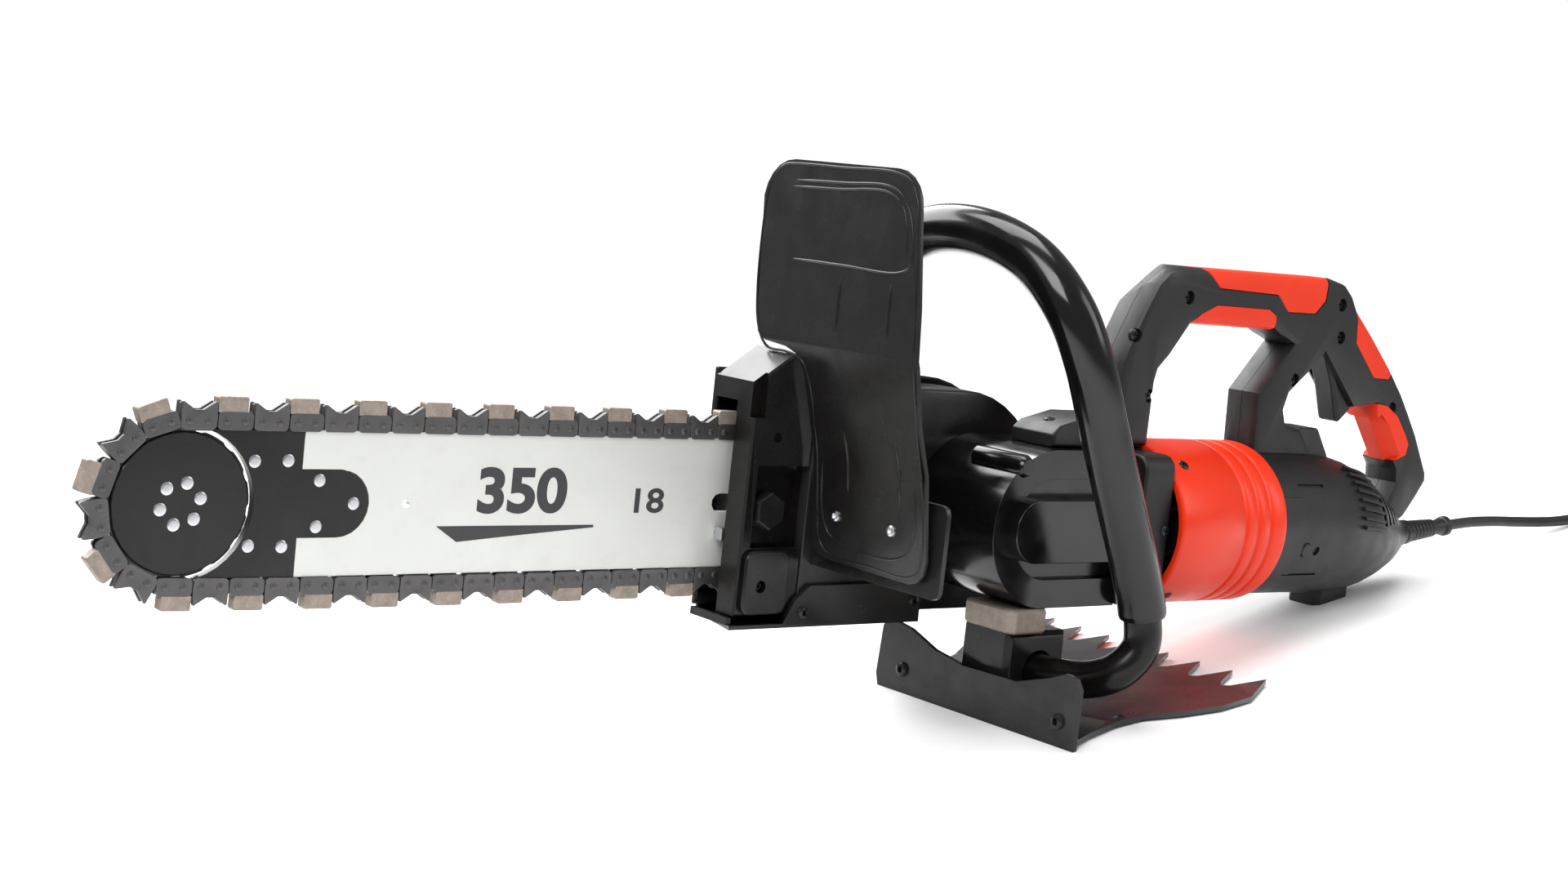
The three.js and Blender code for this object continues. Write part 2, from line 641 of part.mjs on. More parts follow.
function motorInside() {
  make('stator', turnedX(ring(27, 47, 290, 344), MOTOR_Y, 0, 28), 0x7a6a55, 0.4, 0.6);
  const seat = PINION_SEAT_R;
  const shaft = [[0, 196], [seat, 196], [seat, 224], [5, 226], [5, 434], [0, 434]];
  make('armature_shaft', turnedX(shaft, MOTOR_Y, 0, 16), STEEL, 0.9, 0.3);
  make('armature_core', turnedX(ring(5 + GAP, 25, 292, 342), MOTOR_Y, 0, 24), 0x6e4a30, 0.5, 0.5);
  make('commutator', turnedX(ring(5 + GAP, 14, 380, 398), MOTOR_Y, 0, 24), 0xb87333, 0.9, 0.35);
  const blades = [];
  for (let i = 0; i < 9; i += 1) {
    const blade = box(264, 276, MOTOR_Y + 14, MOTOR_Y + 41, -0.9, 0.9);
    blade.translate(0, -MOTOR_Y, 0);
    blade.rotateX((2 * Math.PI * i) / 9);
    blade.translate(0, MOTOR_Y, 0);
    blades.push(blade);
  }
  const disc = turnedX(rod(42, 274, 276.5), MOTOR_Y, 0, 32);
  const hub = turnedX(rod(12, 262, 276), MOTOR_Y, 0, 20);
  const bore = turnedX(rod(5 + GAP, 250, 290), MOTOR_Y, 0, 16);
  make('cooling_fan', cut(join(disc, hub, ...blades), bore), 0x303236, 0, 0.6);
  make('motor_bearing_front', turnedX(ring(5 + GAP, 13, 238, 247), MOTOR_Y, 0, 24), STEEL, 0.9, 0.25);
  make('motor_bearing_rear', turnedX(ring(5 + GAP, 11, 420, 429), MOTOR_Y, 0, 24), STEEL, 0.9, 0.25);
  const bracket = turnedX(ring(11 + GAP, 39, 418, 431), MOTOR_Y, 0, 28);
  const windows = [0, 1, 2, 3].map((i) => {
    const w = box(410, 440, 18, 34, -7, 7);
    w.rotateX((Math.PI / 2) * i + Math.PI / 4);
    w.translate(0, MOTOR_Y, 0);
    return w;
  });
  make('bearing_bracket', cut(bracket, ...windows), PLASTIC, 0, 0.6);
  for (const [name, turn] of [['near', Math.PI], ['far', 0]]) {
    const holder = box(383, 395, 14 + GAP, 40, -5, 5);
    holder.rotateX(turn + 0.25);
    holder.translate(0, MOTOR_Y, 0);
    make(`brush_holder_${name}`, holder, 0xa8833c, 0.8, 0.4);
    const cap = turnedX([[0, 44.5], [4.8, 44.5], [4.8, 48.2], [4.2, 48.9], [0, 48.9]], 0, 0, 16);
    cap.rotateZ(Math.PI / 2);
    cap.rotateX(turn + 0.25);
    cap.translate(389, MOTOR_Y, 0);
    make(`brush_cap_${name}`, cap, 0x101011, 0, 0.5);
  }
}

// round sections of the tail, as [x, centre height, radius]
const TAIL_SECTIONS = [
  [415, -0.3, TAIL_R], [431, -1, 47.8], [447, -2.5, 46.8], [464, -4, 44.8], [482, -6, 40.6],
  [500, -8.5, 33.6], [522, -11, 23.6], [536, -12, 15.6], [545, -11.6, 10.5], [551, -10.7, 9.2],
];

function tailHousing() {
  const f = MOTOR_REAR + GAP;
  const outside = [[f, 0, TAIL_R - 1.5], [f + 2, 0, TAIL_R], ...TAIL_SECTIONS];
  const inside = TAIL_SECTIONS.slice(0, -2).map(([x, z, r]) => [x - 1, z, r - TAIL_WALL]);
  inside.unshift([f - 5, 0, TAIL_R - TAIL_WALL]);
  inside.push([544, -11.3, 6.6], [560, -10.6, 5.8]);
  const foot = softBox(452, 487, -83, -57, -70, -40, 4);
  const shell = cut(join(throughRounds(outside, MOTOR_Y, 32), foot), throughRounds(inside, MOTOR_Y, 28));
  const slots = [];
  for (let i = 0; i < 4; i += 1) {
    for (const side of [-1, 1]) {
      const x = 478 + i * 10;
      const outline = [[x, 2], [x + 4.5, 1], [x + 1.5, 22 - i * 4], [x - 3, 24 - i * 4]];
      slots.push(alongY(shapeOf(outline), side < 0 ? -130 : MOTOR_Y + 4, side < 0 ? MOTOR_Y - 4 : -10));
    }
  }
  const caps = [Math.PI, 0].map((turn) => {
    const hole = turnedX(rod(5.1, 30, 60), 0, 0, 16);
    hole.rotateZ(Math.PI / 2);
    hole.rotateX(turn + 0.25);
    hole.translate(389, MOTOR_Y, 0);
    return hole;
  });
  make('tail_housing', trimmedByFloor(cut(shell, ...slots, ...caps)), PLASTIC, 0, 0.55);
}

// ---- D-handle ----
const HANDLE_OUTLINE = [
  [230.5, 48.5], [232.5, 97], [237.5, 110], [248.5, 132], [257.5, 148], [266.5, 156], [278.5, 159.5],
  [423, 161], [439, 158], [448, 151], [454.5, 142], [475.5, 125], [498.5, 105], [515.5, 88], [526.5, 75],
  [538.5, 60], [549.5, 43], [555.5, 34], [556.5, 28], [547.5, 16], [536.5, 3], [524.5, -4.5],
  [509, 6], [516, 18], [521, 27], [519.5, 36], [515, 41], [491, 70], [489, 80], [464, 77],
  [427, 112], [412, 98], [395.5, 85], [392, 74], [395.5, 65.5], [411.5, 62], [433, 36], [366, 36],
  [363.5, 84], [393, 116.5], [386, 119], [378, 121.5], [371, 125], [291, 125], [275.5, 105], [266.5, 96],
  [264.5, 88], [264.5, 48.5],
];

// the same outline moved inwards by d
function inset(points, d) {
  const n = points.length;
  return points.map(([x, y], i) => {
    const [ax, ay] = points[(i + n - 1) % n];
    const [bx, by] = points[(i + 1) % n];
    const la = Math.hypot(x - ax, y - ay);
    const lb = Math.hypot(bx - x, by - y);
    const n1 = [(y - ay) / la, -(x - ax) / la];
    const n2 = [(by - y) / lb, -(bx - x) / lb];
    const k = d / Math.max(0.35, 1 + n1[0] * n2[0] + n1[1] * n2[1]);
    return [x + (n1[0] + n2[0]) * k, y + (n1[1] + n2[1]) * k];
  });
}

const GRIP_ZONES = {
  grip_top: [
    [294.5, 170], [297, 160], [313, 148], [370, 147], [382, 136.5], [410, 137], [419, 146], [421, 170],
  ],
  grip_under: [[288.5, 118], [288.5, 125], [298.5, 132], [312, 138], [363, 138], [371, 134], [372, 118]],
  grip_rear: [[452, 150], [455, 134], [456.5, 120], [480.5, 97.5], [496.5, 97], [513, 112]],
  grip_low: [
    [487, 81], [500, 79.5], [512.5, 73], [524, 61], [529.5, 54], [527.8, 46], [514, 41], [507, 36], [480, 60],
  ],
};
const GRIP_DEPTH = 2.2;             // thickness of the soft grip pieces
const HANDLE_BEVEL = 4.5;
const LEG_TOP = [491, 70];          // inner edge of the rear leg, under the trigger
const LEG_LOW = [515, 41];
const LEG_CHAMFER = 8;

// tool that takes one long inner edge off the rear leg, or off its core, which lies deeper
function legChamfer(y, inwards, depth = 0) {
  const down = V3(LEG_LOW[0] - LEG_TOP[0], 0, LEG_LOW[1] - LEG_TOP[1]);
  const length = down.length();
  down.normalize();
  const intoLeg = V3(-down.z, 0, down.x);
  const c = LEG_CHAMFER;
  const wedge = prism(shapeOf([[-c, -c], [2 * c, -c], [-c, 2 * c]]), length);
  const across = V3(0, inwards, 0);
  const axes = inwards < 0 ? [intoLeg, across] : [across, intoLeg];
  wedge.applyMatrix4(new THREE.Matrix4().makeBasis(...axes, down));
  wedge.translate(LEG_TOP[0] + intoLeg.x * depth, y + inwards * depth, LEG_TOP[1] + intoLeg.z * depth);
  return wedge;
}

// the slanted facet on the far side of the front corner, through three points
function cornerFacet(body) {
  const [a, b, c] = [V3(264, HANDLE_NEAR, 159), V3(285, HANDLE_FAR, 159), V3(250, HANDLE_FAR, 133)];
  const plane = new THREE.Plane().setFromCoplanarPoints(a, c, b);
  return body.trimByPlane(plane.normal.toArray(), -plane.constant);
}

function handleBody() {
  const block = alongY(shapeOf(HANDLE_OUTLINE), HANDLE_NEAR, HANDLE_FAR, HANDLE_BEVEL, 2);
  const housing = turnedX(rod(MOTOR_R + GAP, MOTOR_FRONT - GAP, MOTOR_REAR + GAP), MOTOR_Y, 0, 40);
  const start = [MOTOR_REAR, 0, TAIL_R + GAP];
  const seat = throughRounds([start, ...TAIL_SECTIONS.map(([x, z, r]) => [x, z, r + GAP])], MOTOR_Y, 32);
  const chamfers = [legChamfer(HANDLE_FAR, -1), legChamfer(HANDLE_NEAR, 1)];
  return cornerFacet(cut(block, housing, seat, ...chamfers));
}

function handleCore(depth) {
  const outline = inset(HANDLE_OUTLINE, depth);
  const block = alongY(shapeOf(outline), HANDLE_NEAR + depth, HANDLE_FAR - depth, 3, 1);
  return cut(block, legChamfer(HANDLE_FAR, -1, depth), legChamfer(HANDLE_NEAR, 1, depth));
}

function dHandle() {
  const full = handleBody();
  const core = handleCore(GRIP_DEPTH);
  const coreSmall = handleCore(GRIP_DEPTH + GAP);
  let shells = full;
  for (const [name, zone] of Object.entries(GRIP_ZONES)) {
    const region = solid(alongY(shapeOf(zone), -120, -20));
    const wide = solid(alongY(shapeOf(inset(zone, GAP * zoneTurn(zone))), -120, -20));
    make(name, full.intersect(wide).subtract(core), RED, 0, 0.6);
    shells = shells.subtract(region.subtract(coreSmall));
  }
  const slot = [
    [428, 118], [430, 106], [440, 90], [450, 64], [476, 64], [477, 80], [473, 91], [463, 104], [453, 114],
    [443, 118],
  ];
  const switchRoom = box(439.5, 460.5, -79.5, -60.5, 113, 131.5);
  shells = cut(shells, alongY(shapeOf(slot), -79.8, -60.2), switchRoom);
  const nearSide = box(100, 700, -200, MOTOR_Y - GAP / 2, -100, 300);
  const farSide = box(100, 700, MOTOR_Y + GAP / 2, 0, -100, 300);
  make('handle_shell_near', common(shells, nearSide), PLASTIC, 0, 0.6);
  make('handle_shell_far', common(shells, farSide), PLASTIC, 0, 0.6);
}

// inset() wants anticlockwise outlines as negative
function zoneTurn(points) {
  let area = 0;
  points.forEach(([x, y], i) => {
    const [bx, by] = points[(i + 1) % points.length];
    area += x * by - bx * y;
  });
  return area > 0 ? -1 : 1;
}

function triggerAndSwitch() {
  const outline = [
    [433, 112], [435, 108], [444.5, 92], [454, 67.5], [457.5, 66.5], [468, 75], [466, 84], [458, 97],
    [448, 109], [440, 113],
  ];
  make('trigger', alongY(shapeOf(outline), -79, -61, 2.5), BLACK, 0, 0.5);
  make('switch_body', softBox(440, 460, -79, -61, 116, 131, 1), 0x2b2b2e, 0, 0.6);
}

function topBracket() {
  const low = HEAD_R + GAP;
  const outline = [[176, low], [230, low], [230, 66], [206, 66], [182, 60], [176, 55]];
  make('top_bracket', alongY(shapeOf(outline), -88, -52, 1.5), PLASTIC, 0.1, 0.5);
}

// ---- hand guard ----
function handGuard() {
  const bent = [
    [22, 220], [22, 97], [41, 35], [50, -40], [52, -40], [43, 35], [24, 97], [24, 220],
  ];
  const face = [
    [-32, -12], [-32, 80], [-28, 89], [-18, 92.5], [0, 94], [6, 98], [8, 104],
    ...arc(-11.5, 172.5, 25, 8, 90, 5),
    ...arc(-97.5, 175.5, 22, 90, 176, 5),
    [-127, 124], [-129.5, 94], [-126, 62], [-128, -8],
    ...arc(-114, -12, 14, 180, 270, 3),
    ...arc(-44, -12, 13, 270, 360, 3).slice(0, 3),
  ];
  const sheet = alongY(shapeOf(bent), -150, 40);
  const front = alongX(shapeOf(face), 0, 80);
  const hole = (y) => turnedX(rod(2.6, 30, 70), y, 1, 12);
  make('hand_guard', cut(common(sheet, front), hole(-53), hole(-100)), 0x131213, 0.4, 0.25);
}

function guardBracket() {
  const face = roundedRect(-134, -26 - GAP, -32, 20, 5, 2);
  const plate = alongX(shapeOf(face), 53, 56);
  const foot = alongY(shapeOf([[53, -32], [92, -32], [92, 20], [53, 20]]), -29, -26 - GAP);
  const hole = (y) => turnedX(rod(2.6, 40, 70), y, 1, 12);
  make('guard_bracket', cut(join(plate, foot), hole(-53), hole(-100)), BLACK, 0.5, 0.4);
}

// ---- front handle ----
const HANDLE_ROUTE = [
  [100, -8, 76], [100, -8, 100], [100, -8, 128], [100.5, -17, 151], [102, -40, 165], [105, -80, 168],
  [111, -118, 156], [118, -143, 132], [129, -151, 106], [150, -151, 64], [172, -151, 21], [190, -151, -15],
  [200, -151.5, -41], [201, -152, -59], [193, -145, -74], [187, -128, -83], [182, -104, -86], [182, -74, -86],
];

function smoothCurve(points) {
  return new THREE.CatmullRomCurve3(points.map(([x, y, z]) => V3(x, y, z)), false, 'centripetal');
}

function sweep(shape, curve, steps) {
  return new THREE.ExtrudeGeometry(shape, { steps, extrudePath: curve, bevelEnabled: false });
}

function frontHandle() {
  const path = smoothCurve(HANDLE_ROUTE);
  make('front_handle_tube', sweep(shapeOf(circle(0, 0, TUBE_R, 14)), path, 48), BLACK, 0.5, 0.25);
  const points = [];
  for (let i = 0; i <= 34; i += 1) {
    points.push(path.getPointAt(SLEEVE_FROM + ((SLEEVE_TO - SLEEVE_FROM) * i) / 34));
  }
  const part = new THREE.CatmullRomCurve3(points, false, 'centripetal');
  const sleeve = shapeOf(circle(0, 0, SLEEVE_R, 14), [circle(0, 0, TUBE_R + 1, 14)]);
  make('front_handle_grip', sweep(sleeve, part, 34), 0x111112, 0, 0.3);
  const block = softBox(84, 116, -24, CASE_FAR - 3, CASE_TOP + GAP, 90, 2);
  const hole = turned(rod(TUBE_R + GAP, 0, 60), 24);
  hole.rotateX(Math.PI / 2);
  hole.translate(100, -8, 75.7);
  make('handle_clamp_top', cut(block, hole), BLACK, 0.4, 0.4);
}

function lowerMount() {
  const outline = [
    [152, -99], [176, -99], [181, -94], [181, -60], [176, -56], [152, -56], [149, -60], [149, -94],
  ];
  make('spacer_block', alongZ(shapeOf(outline), -62, -HEAD_R - GAP, 1.5), 0x7d6e5f, 0.8, 0.5);
  const body = softBox(155, 204, -92, -52, -108, -62 - GAP, 3);
  const hole = turned(rod(TUBE_R + 1, -140, -73), 24);
  hole.translate(182, 0, -86);
  make('handle_clamp_low', cut(body, hole, underClaw(0.4)), BLACK, 0.4, 0.4);
}

// ---- front plate and claw plate ----
const CLAW_X0 = STAND_FRONT.x + SHEET + GAP;
const CLAW_SLOPE = 0.19;
const PLATE_HOLES = [-14.5, -146];  // Y of the two screw holes

function clawLine(x) {
  return STAND_FRONT.y + 1.2 + (x - STAND_FRONT.x) * CLAW_SLOPE;
}

// everything below the upper face of the claw plate
function underClaw(clear) {
  const top = SHEET + clear;
  const outline = [[100, clawLine(100) + top], [400, clawLine(400) + top], [400, -300], [100, -300]];
  return alongY(shapeOf(outline), -250, 100);
}

function frontPlate() {
  const outline = [
    [-160, -130], [2, -130], [9, -108], [7, -78], [3, -72], [-18, -75], [-40, -83], [-66, -87],
    [-110, -86], [-136, -78], [-148, -73], [-156, -74], [-160, -80],
  ];
  const plate = alongX(shapeOf(outline), STAND_FRONT.x, STAND_FRONT.x + SHEET);
  const hole = (y) => turnedX(rod(2.6, 100, 200), y, -101, 12);
  make('front_plate', trimmedByFloor(cut(plate, ...PLATE_HOLES.map(hole))), 0x1b1b1d, 0.5, 0.3);
}

function clawPlate() {
  const near = [
    [CLAW_X0, -157], [166, -153], [190, -151], [209, -154], [230, -166], [252, -175], [276, -177],
  ];
  const far = near.map(([x, y]) => [x, -148 - y]).reverse();
  const teeth = [];
  for (let i = 0; i < 8; i += 1) {
    const y = -163 + i * 25.4;
    teeth.push([306 - 2 * Math.sin((Math.PI * i) / 7), y]);
    if (i < 7) {
      teeth.push([283, y + 8], [279, y + 12], [284, y + 16.5]);
    }
  }
  const plan = alongZ(shapeOf([...near, ...teeth, ...far]), -150, -40);
  const profile = [
    [CLAW_X0, clawLine(CLAW_X0) + 0.2],
    [400, clawLine(400)],
    [400, clawLine(400) + SHEET],
    [CLAW_X0 + SHEET + 2, clawLine(CLAW_X0 + SHEET) + SHEET + 0.6],
    [CLAW_X0 + SHEET, clawLine(CLAW_X0 + SHEET) + SHEET + 2],
    [CLAW_X0 + SHEET, -92],
    [CLAW_X0, -92],
  ];
  const sheet = alongY(shapeOf(profile), -250, 100);
  const hole = (y) => turnedX(rod(2.6, 100, 200), y, -101, 12);
  const drilled = cut(common(sheet, plan), ...PLATE_HOLES.map(hole));
  make('claw_plate', trimmedByFloor(drilled), GRAPHITE, 0.8, 0.35);
}

// ---- cord ----
// from the mouth of the strain relief to the first turn of the coil, on the finished frame
const CORD_ROUTE = [
  [479, -1, 24.1], [503, -3.3, 22.2], [527, -5.7, 18.6], [551, -8.2, 14], [575, -11, 9.6],
  [597, -13.4, 6.2], [618, -15.2, 4.3], [639.7, -18.7, 3.9], [660.6, -29.3, 3.9], [677.2, -45.9, 4.2],
  [687.8, -66.8, 4.7], [691.5, -90, 4.95],
];

function strainRelief() {
  const along = RELIEF_END.clone().sub(RELIEF_START);
  const length = along.length();
  const profile = [[0, -5], [4.6, -5], [4.6, 2.4], [8.6, 2.6], [8.6, 7], [7.4, 9], [5.8, length - 16],
    [5.8, length - 5], [7, length - 4], [7, length - GAP], [0, length - GAP]];
  const sleeve = turned(profile, 20);
  const turn = new THREE.Quaternion().setFromUnitVectors(V3(0, 1, 0), along.normalize());
  sleeve.applyQuaternion(turn);
  sleeve.translate(RELIEF_START.x, RELIEF_START.y, RELIEF_START.z);
  make('strain_relief', sleeve, BLACK, 0, 0.6);
}

function coilSize() {
  const half = COIL_ROWS * CORD_R;
  return { inner: COIL_MID_R - half, outer: COIL_MID_R + half, low: TIE_THICK, high: TIE_THICK + 2 * half };
}

function coilRing(extra) {
  const { inner, outer, low, high } = coilSize();
  const geometry = turned(ring(inner - extra, outer + extra, low - extra, high + extra), 40);
  geometry.rotateX(Math.PI / 2);
  geometry.translate(COIL_X, COIL_Y, 0);
  return geometry;
}

function cordAndCoil() {
  const tube = sweep(shapeOf(circle(0, 0, CORD_R, 10)), smoothCurve(CORD_ROUTE), 16);
  makeLoose('power_cord', cut(tube, coilRing(GAP)), 0x1a1a1b, 0, 0.6);
  makeLoose('cord_coil', coilRing(0), 0x1a1a1b, 0, 0.6);
  const { inner, outer, low, high } = coilSize();
  const y0 = COIL_Y - outer;
  const y1 = COIL_Y - inner + 0.7;
  const strap = (extra, wide) => box(COIL_X - wide, COIL_X + wide, y0 - extra, y1 + extra,
    low - extra, high + extra);
  makeLoose('cord_tie', cut(strap(TIE_THICK, 6), strap(GAP, 9)), 0x2a2a2c, 0, 0.8);
}

function plug() {
  const z = coilSize().high + GAP + PLUG_R;
  const R = PLUG_R;
  const profile = [
    [0, -34], [4.8, -34], [6.4, -6], [R - 2, -3], [R, 4], [R, 22], [R - 1.2, 26], [8.5, 30], [0, 30],
  ];
  const body = turned(profile, 18);
  const pins = [-6.6, 6.6].map((x) => {
    const pin = turned([[0, 20], [2.4, 20], [2.4, 48], [1.6, 49], [0, 49]], 12);
    pin.translate(x, 0, 0);
    return pin;
  });
  const whole = asGeometry(join(body, ...pins));
  whole.translate(COIL_X - COIL_MID_R, COIL_Y + 2, z);
  makeLoose('plug', whole, BLACK, 0, 0.5);
}

guideBar();
barNose();
noseWheel();
sawChain();
noseBlock();
caseBody();
sideCover();
boltsOfCase();
tensionScrew();
chipTray();
gearHead();
outputShaft();
bevelGears();
driveSprocket();
motorFlange();
motorHousing();
motorInside();
tailHousing();
dHandle();
triggerAndSwitch();
topBracket();
handGuard();
guardBracket();
frontHandle();
lowerMount();
frontPlate();
clawPlate();
strainRelief();
cordAndCoil();
plug();

// the saw is centred over the origin
const size = new THREE.Box3();
for (const mesh of pieces) {
  mesh.geometry.computeBoundingBox();
  size.union(mesh.geometry.boundingBox);
}
const shift = V3(-(size.min.x + size.max.x) / 2, -(size.min.y + size.max.y) / 2, 0);

const group = new THREE.Group();
group.name = 'trencher';
for (const mesh of pieces) {
  mesh.geometry.translate(shift.x, shift.y, shift.z);
}
for (const mesh of [...pieces, ...loosePieces]) {
  mesh.geometry.computeVertexNormals();
  group.add(mesh);
}

export default group;
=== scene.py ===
"""Looks of the electric chain trencher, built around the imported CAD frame.

Lengths marked mm are in the saw's own level frame, as in the CAD source: X from the bar tip to the
cord, Y away from the operator's side, the bar centreline is X, and X = 0 is the front of the chain case.
place() turns them into the row frame in metres.
"""
import json
import math

import bmesh
import bpy
from mathutils import Matrix, Vector


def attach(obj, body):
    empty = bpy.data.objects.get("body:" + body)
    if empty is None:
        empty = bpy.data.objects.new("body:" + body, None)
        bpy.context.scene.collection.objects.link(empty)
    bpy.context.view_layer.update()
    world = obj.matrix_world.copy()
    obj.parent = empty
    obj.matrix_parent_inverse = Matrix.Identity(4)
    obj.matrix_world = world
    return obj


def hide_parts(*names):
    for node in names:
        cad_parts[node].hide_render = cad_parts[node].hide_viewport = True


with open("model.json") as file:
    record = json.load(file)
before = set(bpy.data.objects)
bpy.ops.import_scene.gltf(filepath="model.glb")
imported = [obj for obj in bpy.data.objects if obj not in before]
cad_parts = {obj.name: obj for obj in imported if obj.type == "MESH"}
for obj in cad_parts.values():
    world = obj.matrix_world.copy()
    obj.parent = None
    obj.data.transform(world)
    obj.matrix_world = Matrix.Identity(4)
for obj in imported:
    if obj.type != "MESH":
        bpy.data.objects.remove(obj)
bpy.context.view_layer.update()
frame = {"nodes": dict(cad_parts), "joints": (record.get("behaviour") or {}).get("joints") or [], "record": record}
nodes = frame["nodes"]
record = frame["record"]
joints = {joint["name"]: joint for joint in frame["joints"]}
slot_of = {part["node"]: part["material_slot"] for part in record["subparts"]}
body_of = {node: body for body, members in record["behaviour"]["bodies"].items() for node in members}

MM = 0.001
MOTOR_Y = -70.0
MOTOR_R = 51.5
MOTOR_FRONT, MOTOR_REAR = 262.0, 362.0
NOSE_X = -326.0
DRIVE_X = 173.6
CHAIN_LINE = 40.5
CHAIN_LEAVE = 85.0
SPROCKET_R = 27.85
LINK = 19.05
LINKS = 64
BAR_FACE = -2.4
COVER_FAR = 17.0
HANDLE_NEAR = -84.0


# ---- the level frame of the saw ----
def level_frame():
    """Matrix from the saw's level frame in mm to the row frame, read from the motor's joint."""
    spin = joints["armature_spin"]
    x_axis = Vector(spin["axis"]).normalized()
    y_axis = Vector((0, 1, 0))
    z_axis = x_axis.cross(y_axis).normalized()
    turn = Matrix((x_axis, y_axis, z_axis)).transposed()
    origin = Vector(spin["pos_m"]) - turn @ (Vector((300.0, MOTOR_Y, 0.0)) * MM)
    return Matrix.Translation(origin) @ turn.to_4x4() @ Matrix.Scale(MM, 4)


LEVEL = level_frame()


def place(x, y, z):
    return LEVEL @ Vector((x, y, z))


def link(obj):
    bpy.context.scene.collection.objects.link(obj)
    return obj


# ---- camera ----
def make_camera():
    """Where the photograph was taken from, worked out in the level frame."""
    forward = Vector((0.6373, 0.7633, -0.1060)).normalized()
    up = Vector((-0.0152, 0.1500, 0.9886))
    right = forward.cross(up).normalized()
    up = right.cross(forward)
    turn = Matrix((right, up, -forward)).transposed()
    data = bpy.data.cameras.new("photo_camera")
    data.sensor_width = 36.0
    data.lens = 52.9
    data.clip_start = 0.05
    data.clip_end = 60.0
    camera = link(bpy.data.objects.new("photo_camera", data))
    rotation = (LEVEL.to_3x3().normalized() @ turn).to_4x4()
    camera.matrix_world = Matrix.Translation(place(-805.7, -1019.1, 177.3)) @ rotation
    bpy.context.scene.camera = camera


make_camera()


# ---- materials ----
def rgba(value):
    return (*value, 1.0)


def spread(tree, value, low, high, to_low, to_high):
    """A value stretched from one range to another and kept inside it."""
    node = tree.nodes.new("ShaderNodeMapRange")
    node.inputs["From Min"].default_value = low
    node.inputs["From Max"].default_value = high
    node.inputs["To Min"].default_value = to_low
    node.inputs["To Max"].default_value = to_high
    tree.links.new(value, node.inputs["Value"])
    return node.outputs["Result"]


def noise(tree, where, size, detail):
    node = tree.nodes.new("ShaderNodeTexNoise")
    node.inputs["Scale"].default_value = size
    node.inputs["Detail"].default_value = detail
    tree.links.new(where, node.inputs["Vector"])
    return node.outputs["Fac"]


def blended(tree, factor, first, second):
    """Mix of two colours, where first may be a colour or a socket."""
    node = tree.nodes.new("ShaderNodeMix")
    node.data_type = "RGBA"
    tree.links.new(factor, node.inputs["Factor"])
    if isinstance(first, bpy.types.NodeSocket):
        tree.links.new(first, node.inputs["A"])
    else:
        node.inputs["A"].default_value = rgba(first)
    node.inputs["B"].default_value = rgba(second)
    return node.outputs["Result"]


def surface(name, base, rough, metal=0.0, mottle=0.08, size=25.0, swing=0.08, grain=0.0, grain_size=900.0,
            edge_wear_and_highlight=0.0, edge_wear_and_highlight_colour=(0.4, 0.4, 0.4), coat=0.0, dust=0.0, level=0.5):
    """A principled surface whose colour, roughness and relief vary over the piece."""
    material = bpy.data.materials.new(name)
    material.use_nodes = True
    tree = material.node_tree
    shader = tree.nodes["Principled BSDF"]
    shader.inputs["Metallic"].default_value = metal
    shader.inputs["Specular IOR Level"].default_value = level
    shader.inputs["Coat Weight"].default_value = coat
    shader.inputs["Coat Roughness"].default_value = 0.1
    where = tree.nodes.new("ShaderNodeTexCoord").outputs["Object"]
    cloud = noise(tree, where, size, 6.0)
    darker = [c * (1 - mottle) for c in base]
    lighter = [min(1.0, c * (1 + mottle)) for c in base]
    tone = blended(tree, cloud, darker, lighter)
    # Lighter convex edges, by pointiness: worn edges on the chain and claw steel, and a painted edge highlight on
    # the black metal.
    if edge_wear_and_highlight > 0:
        edge = tree.nodes.new("ShaderNodeNewGeometry").outputs["Pointiness"]
        edge_wear_and_highlight_mask = spread(tree, edge, 0.52, 0.6, 0.0, edge_wear_and_highlight)
        tone = blended(tree, edge_wear_and_highlight_mask, tone, edge_wear_and_highlight_colour)
    if dust > 0:
        patch = spread(tree, noise(tree, where, size * 4, 9.0), 0.55, 0.75, 0.0, dust)
        tone = blended(tree, patch, tone, (0.42, 0.40, 0.37))
    tree.links.new(tone, shader.inputs["Base Color"])
    smudge = noise(tree, where, size * 2.3, 8.0)
    sheen = spread(tree, smudge, 0.3, 0.7, max(0.03, rough - swing), min(1.0, rough + swing))
    tree.links.new(sheen, shader.inputs["Roughness"])
    if grain > 0:
        bump = tree.nodes.new("ShaderNodeBump")
        bump.inputs["Strength"].default_value = grain
        bump.inputs["Distance"].default_value = 0.0004
        tree.links.new(noise(tree, where, grain_size, 3.0), bump.inputs["Height"])
        tree.links.new(bump.outputs["Normal"], shader.inputs["Normal"])
    return material


